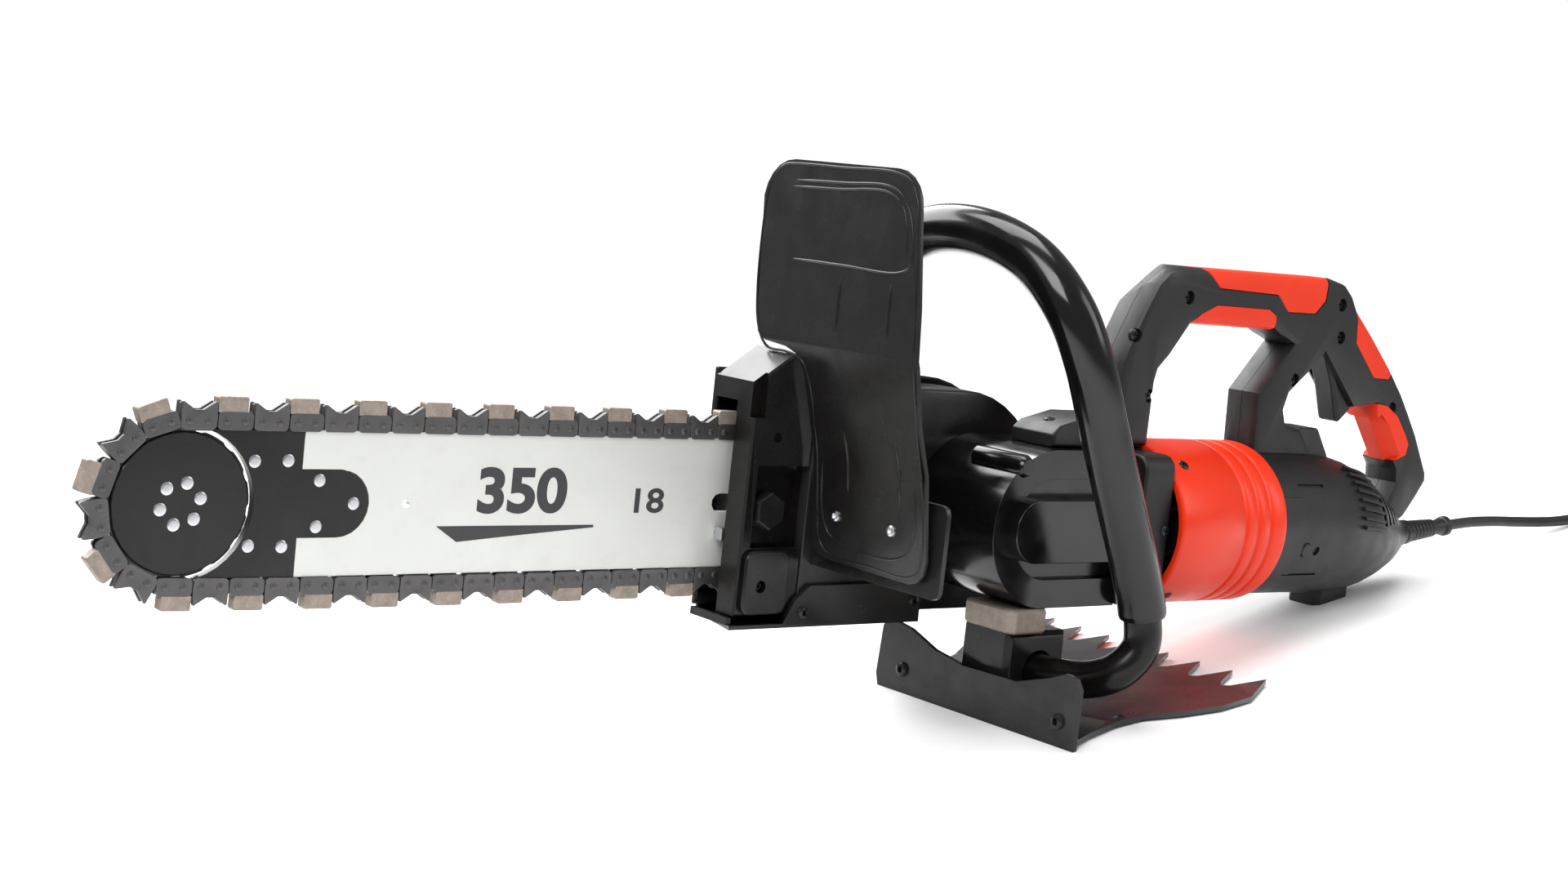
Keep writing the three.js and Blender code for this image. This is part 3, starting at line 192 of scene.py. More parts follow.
MATERIALS = {
    "bar_paint": surface("bar_paint", (0.68, 0.69, 0.66), 0.42, 0.25, mottle=0.05, grain=0.12,
                         grain_size=1500, dust=0.12),
    # The lighter edges of the black metal are a painted edge highlight.
    "black_metal": surface("black_metal", (0.0045, 0.0038, 0.0036), 0.25, mottle=0.3, grain=0.05,
                           edge_wear_and_highlight=0.3, edge_wear_and_highlight_colour=(0.09, 0.09, 0.09), level=0.3),
    "chain_steel": surface("chain_steel", (0.055, 0.054, 0.056), 0.42, 0.7, mottle=0.4, size=70, grain=0.3,
                           edge_wear_and_highlight=0.5, edge_wear_and_highlight_colour=(0.3, 0.29, 0.28)),
    "gear_head_black": surface("gear_head_black", (0.004, 0.004, 0.0045), 0.17, mottle=0.3, grain=0.03,
                               coat=0.15, level=0.4),
    "steel": surface("steel", (0.55, 0.56, 0.58), 0.3, 1.0, mottle=0.1, grain=0.1),
    "copper": surface("copper", (0.6, 0.33, 0.16), 0.4, 1.0, mottle=0.15, grain=0.1),
    "black_plastic": surface("black_plastic", (0.008, 0.008, 0.009), 0.42, mottle=0.2, grain=0.45,
                             grain_size=1500, level=0.4),
    "red_plastic": surface("red_plastic", (0.80, 0.030, 0.002), 0.36, mottle=0.06, grain=0.08, level=0.35),
    "red_grip": surface("red_grip", (0.78, 0.032, 0.004), 0.52, mottle=0.07, grain=0.35,
                        grain_size=1300, level=0.3),
    "claw_steel": surface("claw_steel", (0.02, 0.02, 0.022), 0.33, 0.3, mottle=0.35, grain=0.12, coat=0.2,
                          edge_wear_and_highlight=0.4, edge_wear_and_highlight_colour=(0.16, 0.16, 0.16)),
    "bare_metal": surface("bare_metal", (0.30, 0.25, 0.21), 0.55, 0.35, mottle=0.45, size=160, grain=0.7,
                          grain_size=900, dust=0.5),
    "cord_rubber": surface("cord_rubber", (0.011, 0.011, 0.011), 0.5, mottle=0.2, grain=0.2),
}


def dress_frame():
    for name, node in nodes.items():
        node.data.materials.clear()
        node.data.materials.append(MATERIALS[slot_of[name]])


dress_frame()


# ---- making pieces ----
def settle(obj, body, slot, replaced=(), smooth=32.0):
    """Gives a piece its finish, shading and body, and hides the CAD nodes that it stands for."""
    obj.data.materials.clear()
    obj.data.materials.append(MATERIALS[slot])
    if obj.type == "MESH":
        obj.data.shade_smooth()
        obj.data.set_sharp_from_angle(angle=math.radians(smooth))
    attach(obj, body)
    if replaced:
        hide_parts(*replaced)
    return obj


def mesh_piece(name, vertices, faces):
    """A mesh from points of the level frame, in mm."""
    mesh = bpy.data.meshes.new(name)
    mesh.from_pydata([place(*v) for v in vertices], [], faces)
    mesh.validate()
    return link(bpy.data.objects.new(name, mesh))


def faces_outward(obj):
    shape = bmesh.new()
    shape.from_mesh(obj.data)
    bmesh.ops.recalc_face_normals(shape, faces=shape.faces)
    shape.to_mesh(obj.data)
    shape.free()
    return obj


def prism_y(name, outline, y0, y1):
    """Prism of an (X, Z) outline between two distances across the saw."""
    count = len(outline)
    vertices = [(x, y0, z) for x, z in outline] + [(x, y1, z) for x, z in outline]
    faces = [tuple(range(count)), tuple(count + i for i in reversed(range(count)))]
    faces += [(i, count + i, count + (i + 1) % count, (i + 1) % count) for i in range(count)]
    return faces_outward(mesh_piece(name, vertices, faces))


def round_edges(obj, width, steps=2, angle=32.0):
    bevel = obj.modifiers.new("rounded_edges", "BEVEL")
    bevel.width = width * MM
    bevel.segments = steps
    bevel.limit_method = "ANGLE"
    bevel.angle_limit = math.radians(angle)
    bevel.harden_normals = True
    bevel.miter_outer = "MITER_ARC"
    return obj


def clean_copy(name):
    """The CAD node's own shape with its flat faces whole again."""
    node = nodes[name]
    shape = bmesh.new()
    shape.from_mesh(node.data)
    shape.transform(node.matrix_world)
    bmesh.ops.remove_doubles(shape, verts=shape.verts, dist=1e-5)
    bmesh.ops.dissolve_limit(shape, angle_limit=math.radians(0.8), verts=shape.verts, edges=shape.edges)
    mesh = bpy.data.meshes.new(name + "_finished")
    shape.to_mesh(mesh)
    shape.free()
    if "custom_normal" in mesh.attributes:
        mesh.attributes.remove(mesh.attributes["custom_normal"])
    return link(bpy.data.objects.new(name + "_finished", mesh))


def drill(obj, cutters):
    """Cuts the cutter meshes out of a piece for good."""
    for cutter in cutters:
        hole = obj.modifiers.new("hole", "BOOLEAN")
        hole.object = cutter
        hole.operation = "DIFFERENCE"
        hole.solver = "EXACT"
    bpy.context.view_layer.update()
    evaluated = obj.evaluated_get(bpy.context.evaluated_depsgraph_get())
    obj_mesh = bpy.data.meshes.new_from_object(evaluated)
    obj.modifiers.clear()
    obj.data = obj_mesh
    for cutter in cutters:
        bpy.data.objects.remove(cutter)


def refined(name, width=0.7, steps=2, cutters=()):
    obj = clean_copy(name)
    if cutters:
        drill(obj, cutters)
    round_edges(obj, width, steps)
    return settle(obj, body_of[name], slot_of[name], [name])


def basis_along(direction):
    """Two unit vectors square to a direction of the level frame."""
    axis = Vector(direction).normalized()
    aside = Vector((0, 0, 1)) if abs(axis.z) < 0.9 else Vector((1, 0, 0))
    u = axis.cross(aside).normalized()
    return axis, u, axis.cross(u)


def lathe(name, start, direction, profile, sides=48):
    """Turned piece: profile pairs are (radius, distance from start along the direction), in mm."""
    axis, u, v = basis_along(direction)
    origin = Vector(start)
    vertices, faces = [], []
    for radius, along in profile:
        for i in range(sides):
            a = 2 * math.pi * i / sides
            vertices.append(origin + axis * along + (u * math.cos(a) + v * math.sin(a)) * radius)
    for row in range(len(profile) - 1):
        for i in range(sides):
            j = (i + 1) % sides
            faces.append((row * sides + i, row * sides + j, (row + 1) * sides + j, (row + 1) * sides + i))
    obj = mesh_piece(name, vertices, faces)
    shape = bmesh.new()
    shape.from_mesh(obj.data)
    bmesh.ops.remove_doubles(shape, verts=shape.verts, dist=1e-6)
    bmesh.ops.holes_fill(shape, edges=shape.edges)
    bmesh.ops.recalc_face_normals(shape, faces=shape.faces)
    shape.to_mesh(obj.data)
    shape.free()
    return obj


def joined(name, parts):
    """One object from several, keeping the first one's place."""
    shape = bmesh.new()
    for part in parts:
        shape.from_mesh(part.data)
    mesh = bpy.data.meshes.new(name)
    shape.to_mesh(mesh)
    shape.free()
    for part in parts:
        bpy.data.objects.remove(part)
    return link(bpy.data.objects.new(name, mesh))


def between(a, b, ka, kb, t):
    return a.lerp(b, (t - ka) / (kb - ka))


def smooth_line(points, steps):
    """Centripetal curve through the points, with this many steps between each two."""
    points = [Vector(p) for p in points]
    ends = [2 * points[0] - points[1], *points, 2 * points[-1] - points[-2]]
    line = []
    for i in range(len(points) - 1):
        p = ends[i:i + 4]
        k = [0.0]
        for a, b in zip(p, p[1:]):
            k.append(k[-1] + (b - a).length ** 0.5)
        for step in range(steps):
            t = k[1] + (k[2] - k[1]) * step / steps
            a = [between(p[j], p[j + 1], k[j], k[j + 1], t) for j in range(3)]
            b = [between(a[j], a[j + 1], k[j], k[j + 2], t) for j in range(2)]
            line.append(between(b[0], b[1], k[1], k[2], t))
    line.append(points[-1])
    return line


def sweep(name, line, radii, sides=40):
    """Round bar along a line of the level frame, with a radius for each of its points."""
    rings, side = [], None
    for i, p in enumerate(line):
        ahead = (line[min(i + 1, len(line) - 1)] - line[max(i - 1, 0)]).normalized()
        side = ahead.orthogonal() if side is None else side - ahead * side.dot(ahead)
        side.normalize()
        up = ahead.cross(side)
        turn = [2 * math.pi * j / sides for j in range(sides)]
        rings.append([p + (side * math.cos(a) + up * math.sin(a)) * radii[i] for a in turn])
    vertices = [v for ring in rings for v in ring]
    faces = [list(range(sides))[::-1], [len(vertices) - sides + j for j in range(sides)]]
    for i in range(len(rings) - 1):
        for j in range(sides):
            k = (j + 1) % sides
            faces.append((i * sides + j, i * sides + k, (i + 1) * sides + k, (i + 1) * sides + j))
    return mesh_piece(name, vertices, faces)


# ---- cord ----
# Points and sizes of the cord, plug and tie are in mm of the row frame, where the floor is Z = 0.
COIL_X, COIL_Y = 644.0, -90.0
CORD_D = 7.5
COIL_LIFT = 1.2
CORD_ROUTE = [
    (479, -1, 24.1), (503, -3.3, 22.2), (527, -5.7, 18.6), (551, -8.2, 14), (575, -11, 9.6),
    (597, -13.4, 6.2), (618, -15.2, 4.3), (639.7, -18.7, 3.9), (660.6, -29.3, 3.9),
    (677.2, -45.9, 4.2), (687.8, -66.8, 4.7),
]
# Stops of the coil: turns made so far, radius, and layer above the lowest.
COIL_STOPS = [
    (0, 47.5, 0), (0.75, 47.5, 0), (1, 40, 0), (1.75, 40, 0), (2, 32.5, 0), (2.5, 32.5, 0),
    (2.75, 32.5, 1), (3.25, 32.5, 1), (3.5, 40, 1), (4.25, 40, 1), (4.5, 47.5, 1), (5, 47.5, 1),
    (5.25, 47.5, 2), (5.75, 47.5, 2), (6, 40, 2), (6.75, 40, 2), (7, 32.5, 2), (7.5, 32.5, 2),
    (7.8, 32.5, 3.1), (7.95, 32.5, 3.1),
]
PLUG_ROUTE = [
    (676.3, -101, 28.4), (674.4, -116.5, 29), (668.8, -131, 30), (659.4, -143.5, 31.2),
    (646.6, -151.6, 32.6), (632.2, -153.6, 33.8), (618.8, -149.4, 34.8), (609.4, -140.2, 35.5),
    (604.9, -129.4, 35.9), (604, -122, 36),
]


def coil_point(turn):
    """Point of the coil after so many turns: turns lie side by side, then in the next layer."""
    last = len(COIL_STOPS) - 2
    i = next((k for k in range(last + 1) if turn <= COIL_STOPS[k + 1][0]), last)
    (t0, r0, l0), (t1, r1, l1) = COIL_STOPS[i], COIL_STOPS[i + 1]
    part = (turn - t0) / (t1 - t0)
    part = (1 - math.cos(math.pi * part)) / 2
    r = r0 + (r1 - r0) * part
    layer = l0 + (l1 - l0) * part
    a = 2 * math.pi * turn
    return (COIL_X + r * math.cos(a), COIL_Y - r * math.sin(a), COIL_LIFT + CORD_D / 2 + CORD_D * layer)


def make_cord():
    turns = COIL_STOPS[-1][0]
    count = int(turns * 24)
    coil = [coil_point(turns * i / count) for i in range(count + 1)]
    line = smooth_line([*CORD_ROUTE, *coil, *PLUG_ROUTE], 4)
    data = bpy.data.curves.new("mains_cord", "CURVE")
    data.dimensions = "3D"
    data.bevel_depth = CORD_D / 2 * MM
    data.bevel_resolution = 6
    data.use_fill_caps = True
    spline = data.splines.new("POLY")
    spline.points.add(len(line) - 1)
    for point, at in zip(spline.points, line):
        point.co = (*(at * MM), 1.0)
    spline.use_smooth = True
    cord = link(bpy.data.objects.new("mains_cord", data))
    length = sum((b - a).length for a, b in zip(line, line[1:])) * MM
    settle(cord, "saw", "cord_rubber", ["power_cord", "cord_coil"])
    return cord, length


cord, cord_length = make_cord()


# ---- plug and cord tie ----
def floor_piece(name, build):
    """Builds a piece whose sizes are in mm of the row frame, where the floor is Z = 0."""
    obj = build()
    undo = Matrix.Scale(MM, 4) @ LEVEL.inverted()
    obj.data.transform(undo)
    obj.name = name
    return obj


def make_plug():
    centre = Vector((COIL_X - 40, COIL_Y + 2, 36))
    body = [(0, -34), (4.4, -34), (4.9, -33.4), (5.1, -28)]
    for at in (-27, -22, -17, -12):
        body += [(5.6, at), (5.6, at + 1.6), (4.7, at + 2), (4.7, at + 4.4)]
    body += [(6.6, -6), (9.4, -3.6), (11.2, 0.5), (12, 5), (12, 7), (11.2, 8), (11.2, 9.4), (12, 10.4),
             (12, 21), (11.4, 24.5), (9.6, 28.5), (8.9, 29.6), (8, 30), (0, 30)]
    def build():
        parts = [lathe("plug_shell", centre, (0, 1, 0), body, 64)]
        for x in (-6.6, 6.6):
            pin = [(0, 26), (2.4, 26), (2.4, 47.6), (2.1, 48.6), (1.4, 49), (0, 49)]
            parts.append(lathe("pin", centre + Vector((x, 0, 0)), (0, 1, 0), pin, 32))
        return joined("plug_parts", parts)
    obj = floor_piece("mains_plug", build)
    return settle(obj, "saw", "cord_rubber", ["plug"])


def make_tie():
    """Hook and loop strap round one side of the coil."""
    mid_y, mid_z = COIL_Y - 40, COIL_LIFT + 1.5 * CORD_D
    reach, corner = 1.5 * CORD_D + 0.55, 3.2
    outline = []
    for cy, cz, start in ((1, 1, 0), (-1, 1, 90), (-1, -1, 180), (1, -1, 270)):
        for step in range(7):
            a = math.radians(start + 15 * step)
            y = mid_y + cy * (reach - corner) + corner * math.cos(a)
            outline.append((y, mid_z + cz * (reach - corner) + corner * math.sin(a)))
    def build():
        vertices, faces = [], []
        count = len(outline)
        for x, grow in ((-6, 0), (6, 0), (6, -0.9), (-6, -0.9)):
            for y, z in outline:
                dy, dz = y - mid_y, z - mid_z
                size = math.hypot(dy, dz)
                vertices.append((COIL_X + x, y + dy / size * grow, max(0.15, z + dz / size * grow)))
        for k in range(4):
            for i in range(count):
                j = (i + 1) % count
                n = (k + 1) % 4
                faces.append((k * count + i, k * count + j, n * count + j, n * count + i))
        return mesh_piece("tie_parts", vertices, faces)
    obj = floor_piece("hook_loop_tie", build)
    return settle(obj, "saw", "black_plastic", ["cord_tie"])


plug = make_plug()
tie = make_tie()


# ---- screws and studs ----
def screw(name, at, direction, radius, head, drive="cross", slot="black_metal"):
    """Domed screw head whose seat is at a point of the level frame, with its drive cut in."""
    dome = [(0, -0.6), (radius, -0.6), (radius, head * 0.35), (radius * 0.9, head * 0.7),
            (radius * 0.62, head * 0.95), (radius * 0.3, head), (0, head)]
    obj = lathe(name, at, direction, dome, 32)
    axis, u, v = basis_along(direction)
    origin = Vector(at)
    cutters = []
    if drive == "hex":
        ring = [(radius * 0.5, head * 0.25), (radius * 0.5, head + 1)]
        cutters.append(lathe("drive", at, direction, [(0, head * 0.25), *ring, (0, head + 1)], 6))
    else:
        for a, b in ((u, v), (v, u)):
            points = []
            for along in (head * 0.3, head + 1):
                for p, q in ((-1, -1), (1, -1), (1, 1), (-1, 1)):
                    points.append(origin + axis * along + a * p * radius * 0.62 + b * q * radius * 0.13)
            quads = [(3, 2, 1, 0), (4, 5, 6, 7), (0, 1, 5, 4), (1, 2, 6, 5), (2, 3, 7, 6), (3, 0, 4, 7)]
            cutters.append(mesh_piece("drive", points, quads))
    drill(obj, [faces_outward(cutter) for cutter in cutters])
    return settle(obj, "saw", slot)


def well(at, direction, radius, depth):
    """Cutter for a screw's well or a dimple."""
    profile = [(0, -depth), (radius, -depth), (radius, 4), (0, 4)]
    return lathe("well", at, direction, profile, 48)


# ---- chain ----
def chain_line():
    reach = DRIVE_X - CHAIN_LEAVE
    away = math.hypot(reach, CHAIN_LINE)
    dip = math.atan2(CHAIN_LINE, reach) - math.asin(SPROCKET_R / away)
    slant = math.sqrt(away * away - SPROCKET_R * SPROCKET_R)
    straight = CHAIN_LEAVE - NOSE_X
    wrap = SPROCKET_R * (math.pi - 2 * dip)
    return dip, straight, slant, wrap, 2 * straight + 2 * slant + wrap + CHAIN_LINE * math.pi


DIP, STRAIGHT, SLANT, WRAP, LOOP = chain_line()
SAG = 1.6


def chain_at(distance):
    """Rivet line of the chain: (x, z) and the outward (x, z) at a distance along it."""
    s = distance % LOOP
    if s < STRAIGHT:
        return (NOSE_X + s, CHAIN_LINE, 0, 1)
    s -= STRAIGHT
    if s < SLANT:
        return (CHAIN_LEAVE + s * math.cos(DIP), CHAIN_LINE - s * math.sin(DIP), math.sin(DIP), math.cos(DIP))
    s -= SLANT
    if s < WRAP:
        a = math.pi / 2 - DIP - s / SPROCKET_R
        return (DRIVE_X + SPROCKET_R * math.cos(a), SPROCKET_R * math.sin(a), math.cos(a), math.sin(a))
    s -= WRAP
    if s < SLANT:
        back = SLANT - s
        x, z = CHAIN_LEAVE + back * math.cos(DIP), -CHAIN_LINE + back * math.sin(DIP)
        return (x, z, math.sin(DIP), -math.cos(DIP))
    s -= SLANT
    if s < STRAIGHT:
        x = CHAIN_LEAVE - s
        hang = SAG * max(0.0, 1 - ((x + 130) / 190) ** 2)
        return (x, -CHAIN_LINE - hang, 0, -1)
    s -= STRAIGHT
    a = -math.pi / 2 - s / CHAIN_LINE
    return (NOSE_X + CHAIN_LINE * math.cos(a), CHAIN_LINE * math.sin(a), math.cos(a), math.sin(a))


STRETCH = LOOP / (LINKS * LINK)


def strap_outline(length, high, low=-4.4, corner=2.6, steps=4):
    """Side plate of the chain from rivet end to rivet end, with rounded ends."""
    points = []
    x0, x1 = 0.25, length - 0.25
    for cx, cz, start in ((x1 - corner, high - corner, 0), (x0 + corner, high - corner, 90),
                          (x0 + corner, low + corner, 180), (x1 - corner, low + corner, 270)):
        for step in range(steps + 1):
            a = math.radians(start + 90 * step / steps)
            points.append((cx + corner * math.cos(a), cz + corner * math.sin(a)))
    return points


BUMPER = [(0.4, -3.2), (2.2, -4.4), (16.8, -4.4), (18.6, -3.2), (18.9, 1.2), (18.7, 5), (18.2, 9.2),
          (17.7, 9.4), (11.4, 5.3), (7.2, 5.3), (0.9, 9.4), (0.3, 9.1), (0.1, 5), (0.1, 1.2)][::-1]


class Shapes:
    """Gathers the many small bodies of the chain into one mesh."""

    def __init__(self):
        self.vertices = []
        self.faces = []

    def plate(self, outline, near, far, start, pivot):
        """Flat plate of a link: outline pairs are (along, outward) from the link's start."""
        low = len(self.vertices)
        a, b = chain_at(start + pivot[0]), chain_at(start + pivot[1])
        ahead = Vector((b[0] - a[0], 0, b[1] - a[1])).normalized()
        out = Vector((-ahead.z, 0, ahead.x))
        if out.dot(Vector((a[2], 0, a[3]))) < 0:
            out = -out
        origin = Vector((a[0], 0, a[1])) - ahead * pivot[0]
        count = len(outline)
        for y in (near, far):
            for s, h in outline:
                p = origin + ahead * s + out * h
                self.vertices.append((p.x, y, p.z))
        self.faces.append(tuple(low + i for i in range(count)))
        self.faces.append(tuple(low + count + i for i in reversed(range(count))))
        for i in range(count):
            j = (i + 1) % count
            self.faces.append((low + i, low + count + i, low + count + j, low + j))

    def rivet(self, start, at, pivot, radius, reach, sides=14):
        a, b = chain_at(start + pivot[0]), chain_at(start + pivot[1])
        mix = (at - pivot[0]) / (pivot[1] - pivot[0])
        x, z = a[0] + (b[0] - a[0]) * mix, a[1] + (b[1] - a[1]) * mix
        rows = [(0.55, -reach - 0.55), (0.9, -reach - 0.3), (1.0, -reach), (1.0, reach), (0.9, reach + 0.3),
                (0.55, reach + 0.55)]
        low = len(self.vertices)
        for scale, y in rows:
            for i in range(sides):
                t = 2 * math.pi * i / sides
                self.vertices.append((x + radius * scale * math.cos(t), y, z + radius * scale * math.sin(t)))
        for row in range(len(rows) - 1):
            for i in range(sides):
                j = (i + 1) % sides
                first, second = low + row * sides, low + (row + 1) * sides
                self.faces.append((first + i, first + j, second + j, second + i))
        self.faces.append(tuple(low + i for i in reversed(range(sides))))
        end = low + (len(rows) - 1) * sides
        self.faces.append(tuple(end + i for i in range(sides)))

    def piece(self, name, slot, bevel=0.0, replaced=()):
        obj = faces_outward(mesh_piece(name, self.vertices, self.faces))
        if bevel:
            round_edges(obj, bevel, 2)
        return settle(obj, "saw", slot, replaced)


def make_chain():
    """Side straps, centre plates with horns, rivets and the diamond segments."""
    straps, centre, rivets, diamonds = Shapes(), Shapes(), Shapes(), Shapes()
    ends = (4.76, 14.29)
    plain = strap_outline(LINK, 4.7)
    segment = [(0.2, 4.2), (15.5, 4.2), (15.7, 5.0), (15.7, 11.2), (15.0, 12), (0.7, 12), (0.0, 11.2),
               (0.0, 5.0)][::-1]
    base = [(0.5, -3.0), (15.2, -3.0), (15.4, 4.6), (0.3, 4.6)][::-1]
    for k in range(LINKS):
        start = (15.4 + k * LINK) * STRETCH
        if k % 2 == 0:
            diamonds.plate(segment, -3.35, 3.35, start, (1.0, 15.0))
            centre.plate(base, -1.2, 1.2, start, (1.0, 15.0))
            for near, far in ((-3.5, -1.5), (1.5, 3.5)):
                straps.plate(plain, near, far, start, ends)
        else:
            for near, far in ((-3.5, -1.5), (1.5, 3.5)):
                straps.plate(BUMPER, near, far, start, ends)
            centre.plate([(x, z - 0.8) for x, z in BUMPER], -1.2, 1.2, start, ends)
        for at in ends:
            rivets.rivet(start, at, ends, 1.9, 3.6)
    straps.piece("chain_straps", "chain_steel", 0.3, ["saw_chain"])
    centre.piece("chain_centre_plates", "chain_steel", 0.2)
    rivets.piece("chain_rivets", "chain_steel")
    diamonds.piece("chain_diamond_segments", "bare_metal", 0.35)


make_chain()


# ---- bar: nose rivets and plain size numbers ----
def bar_rivet(x, z, body, radius=3.25):
    """Flush rivet through the bar, seen on both faces."""
    head = [(0, 0.2), (radius, 0.2), (radius, 0.02), (radius * 0.93, -0.14), (radius * 0.6, -0.22),
            (0, -0.24)]
    name = f"bar_rivet_{body}_{int(x)}_{int(z)}"
    sides = [lathe(name, (x, side * BAR_FACE, z), (0, side, 0), head, 40) for side in (1, -1)]
    return settle(joined(name, sides), body, "steel")


for i in range(6):
    a = math.radians(60 * i + 15)
    bar_rivet(NOSE_X + 10.5 * math.cos(a), 10.5 * math.sin(a), "nose_wheel")
for x, z in ((-289, 21), (-289, -21), (-271, 21.5), (-271, -21.5), (-253, 11.7), (-253, -11.7), (-233, 0)):
    bar_rivet(x, z, "saw")

MARKS = surface("mark_paint", (0.035, 0.035, 0.038), 0.5, mottle=0.25, grain=0.1)


def mark(name, text, x, z, width, height, bold):
    """Plain size number printed on the near face of the bar."""
    data = bpy.data.curves.new(name, "FONT")
    data.body = text
    data.align_x = "CENTER"
    data.align_y = "CENTER"
    data.extrude = 0.00003
    data.offset = bold
    obj = link(bpy.data.objects.new(name, data))
    bpy.context.view_layer.update()
    wide, high = obj.dimensions.x, obj.dimensions.y
    size = Matrix.Diagonal((width * MM / wide, height * MM / high, 1, 1))
    upright = Matrix.Rotation(math.pi / 2, 4, "X")
    turn = LEVEL.to_3x3().normalized().to_4x4()
    obj.matrix_world = Matrix.Translation(place(x, BAR_FACE - 0.06, z)) @ turn @ upright @ size
    data.materials.append(MARKS)
    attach(obj, "saw")


mark("size_number_bar", "350", -133, 5.5, 56, 25, 0.035)
mark("size_number_width", "18", -51, 0.5, 20, 14, 0.02)


def underline():
    outline = [(-184, -12), (-171, -20.5), (-160, -19.5), (-140, -17.8), (-85, -13.4), (-85, -12)]
    low = [(x, BAR_FACE - 0.02, z) for x, z in outline]
    high = [(x, BAR_FACE - 0.09, z) for x, z in outline]
    count = len(outline)
    faces = [tuple(range(count))[::-1], tuple(count + i for i in range(count))]
    faces += [(i, (i + 1) % count, count + (i + 1) % count, count + i) for i in range(count)]
    obj = mesh_piece("size_underline", low + high, faces)
    settle(obj, "saw", "black_metal")
    obj.data.materials.clear()
    obj.data.materials.append(MARKS)


underline()


# ---- front handle ----
HANDLE_ROUTE = [
    (100, -8, 76), (100, -8, 100), (100, -8, 128), (100.5, -17, 151), (102, -40, 165), (105, -80, 168),
    (111, -118, 156), (118, -143, 132), (129, -151, 106), (150, -151, 64), (172, -151, 21), (190, -151, -15),
    (200, -151.5, -41), (201, -152, -59), (193, -145, -74), (187, -128, -83), (182, -104, -86),
    (182, -74, -86),
]


def make_front_handle():
    line = smooth_line(HANDLE_ROUTE, 12)
    along = [0.0]
    for a, b in zip(line, line[1:]):
        along.append(along[-1] + (b - a).length)
    total = along[-1]
    tube = sweep("front_handle_bent_tube", line, [11.0] * len(line), 48)
    settle(tube, "saw", "black_metal", ["front_handle_tube"])
    first, last = 0.13 * total, 0.79 * total
    inside = [i for i, s in enumerate(along) if first <= s <= last]
    radii = []
    for i in inside:
        edge = min(along[i] - first, last - along[i])
        radii.append(14.0 - 1.6 * max(0.0, 1 - edge / 4.0) ** 2)
    sleeve = sweep("front_handle_rubber_sleeve", [line[i] for i in inside], radii, 48)
    settle(sleeve, "saw", "gear_head_black", ["front_handle_grip"])


make_front_handle()


# ---- motor housing and strain relief ----
def make_motor_housing():
    full, front, rear, inner = MOTOR_R, MOTOR_FRONT, MOTOR_REAR, 47.6
    rounding = [(2.2, 0), (0.9, 0.5), (0.2, 1.6), (0, 3)]
    groove = [(0, -2.2), (0.25, -1.8), (1.25, -1.0), (1.4, 0), (1.25, 1.0), (0.25, 1.8), (0, 2.2)]
    profile = [(inner, front + 0.2), *((full - depth, front + x) for depth, x in rounding)]
    for middle in (rear - 40, rear - 28, rear - 16):
        profile += [(full - depth, middle + x) for depth, x in groove]
    profile += [(full - depth, rear - x) for depth, x in reversed(rounding)]
    profile += [(inner, rear - 0.2), (inner, front + 0.2)]
    obj = lathe("motor_housing_shell", (0, MOTOR_Y, 0), (1, 0, 0), profile, 144)
    settle(obj, "saw", "red_plastic", ["motor_housing"])


def make_relief():
    start, end = Vector((550, -70.4, -10.6)), Vector((599, -75, -5))
    length = (end - start).length
    profile = [(0, -5), (4.6, -5), (4.6, 2.4), (8.2, 2.5), (8.6, 3), (8.6, 6.6), (8.2, 7.4)]
    rings = 7
    for i in range(rings):
        at = 9.5 + i * (length - 27) / (rings - 1)
        r = 7.5 - 1.3 * i / (rings - 1)
        profile += [(r, at - 1.5), (r + 0.25, at), (r, at + 1.5), (r - 1.5, at + 1.9), (r - 1.5, at + 3.1)]
    mouth = [(5.8, 8), (5.8, 5.4), (6.8, 4.6), (7, 3.8), (7, 0.9), (6.5, 0.3), (4.4, 0.3), (3.9, 0.8),
             (0, 0.8)]
    profile += [(r, length - back) for r, back in mouth]
    obj = lathe("cord_strain_relief", start, end - start, profile, 64)
    settle(obj, "saw", "black_plastic", ["strain_relief"])


make_motor_housing()
make_relief()


# ---- gear head ----
HEAD_R, HEAD_NEAR, HEAD_FAR, HEAD_REAR = 47.0, -97.0, -26.3, 235.0
RECESS_R, RECESS_DEPTH = 30, 5
ROOM_R, ROOM_NEAR, ROOM_FAR = 41, -84, -33
BORE_R = 15.3
SEAT_R, SEAT_NEAR, SEAT_FAR = 13.3, -93, -60
BOSS_R, BOSS_NEAR, BOSS_FAR, BOSS_FROM, BOSS_TO = 18.5, -106, -91.8, 155, 232


def half_round(x, r, start, steps=40):
    """Half circle of (X, Z) points round a point of the centreline, from a starting angle."""
    return [(x + r * math.cos(math.radians(start + 180 * i / steps)),
             r * math.sin(math.radians(start + 180 * i / steps))) for i in range(steps + 1)]


def arch(r, rear):
    """Outline round the output shaft in front and straight towards the rear."""
    return [(rear, -r), (rear, r), *half_round(DRIVE_X, r, 90)]


def shaft_hole(name, r, y0, y1):
    """Cylinder on the output shaft's axis, between two distances across the saw."""
    return lathe(name, (DRIVE_X, y1, 0), (0, -1, 0), [(0, 0), (r, 0), (r, y1 - y0), (0, y1 - y0)], 64)


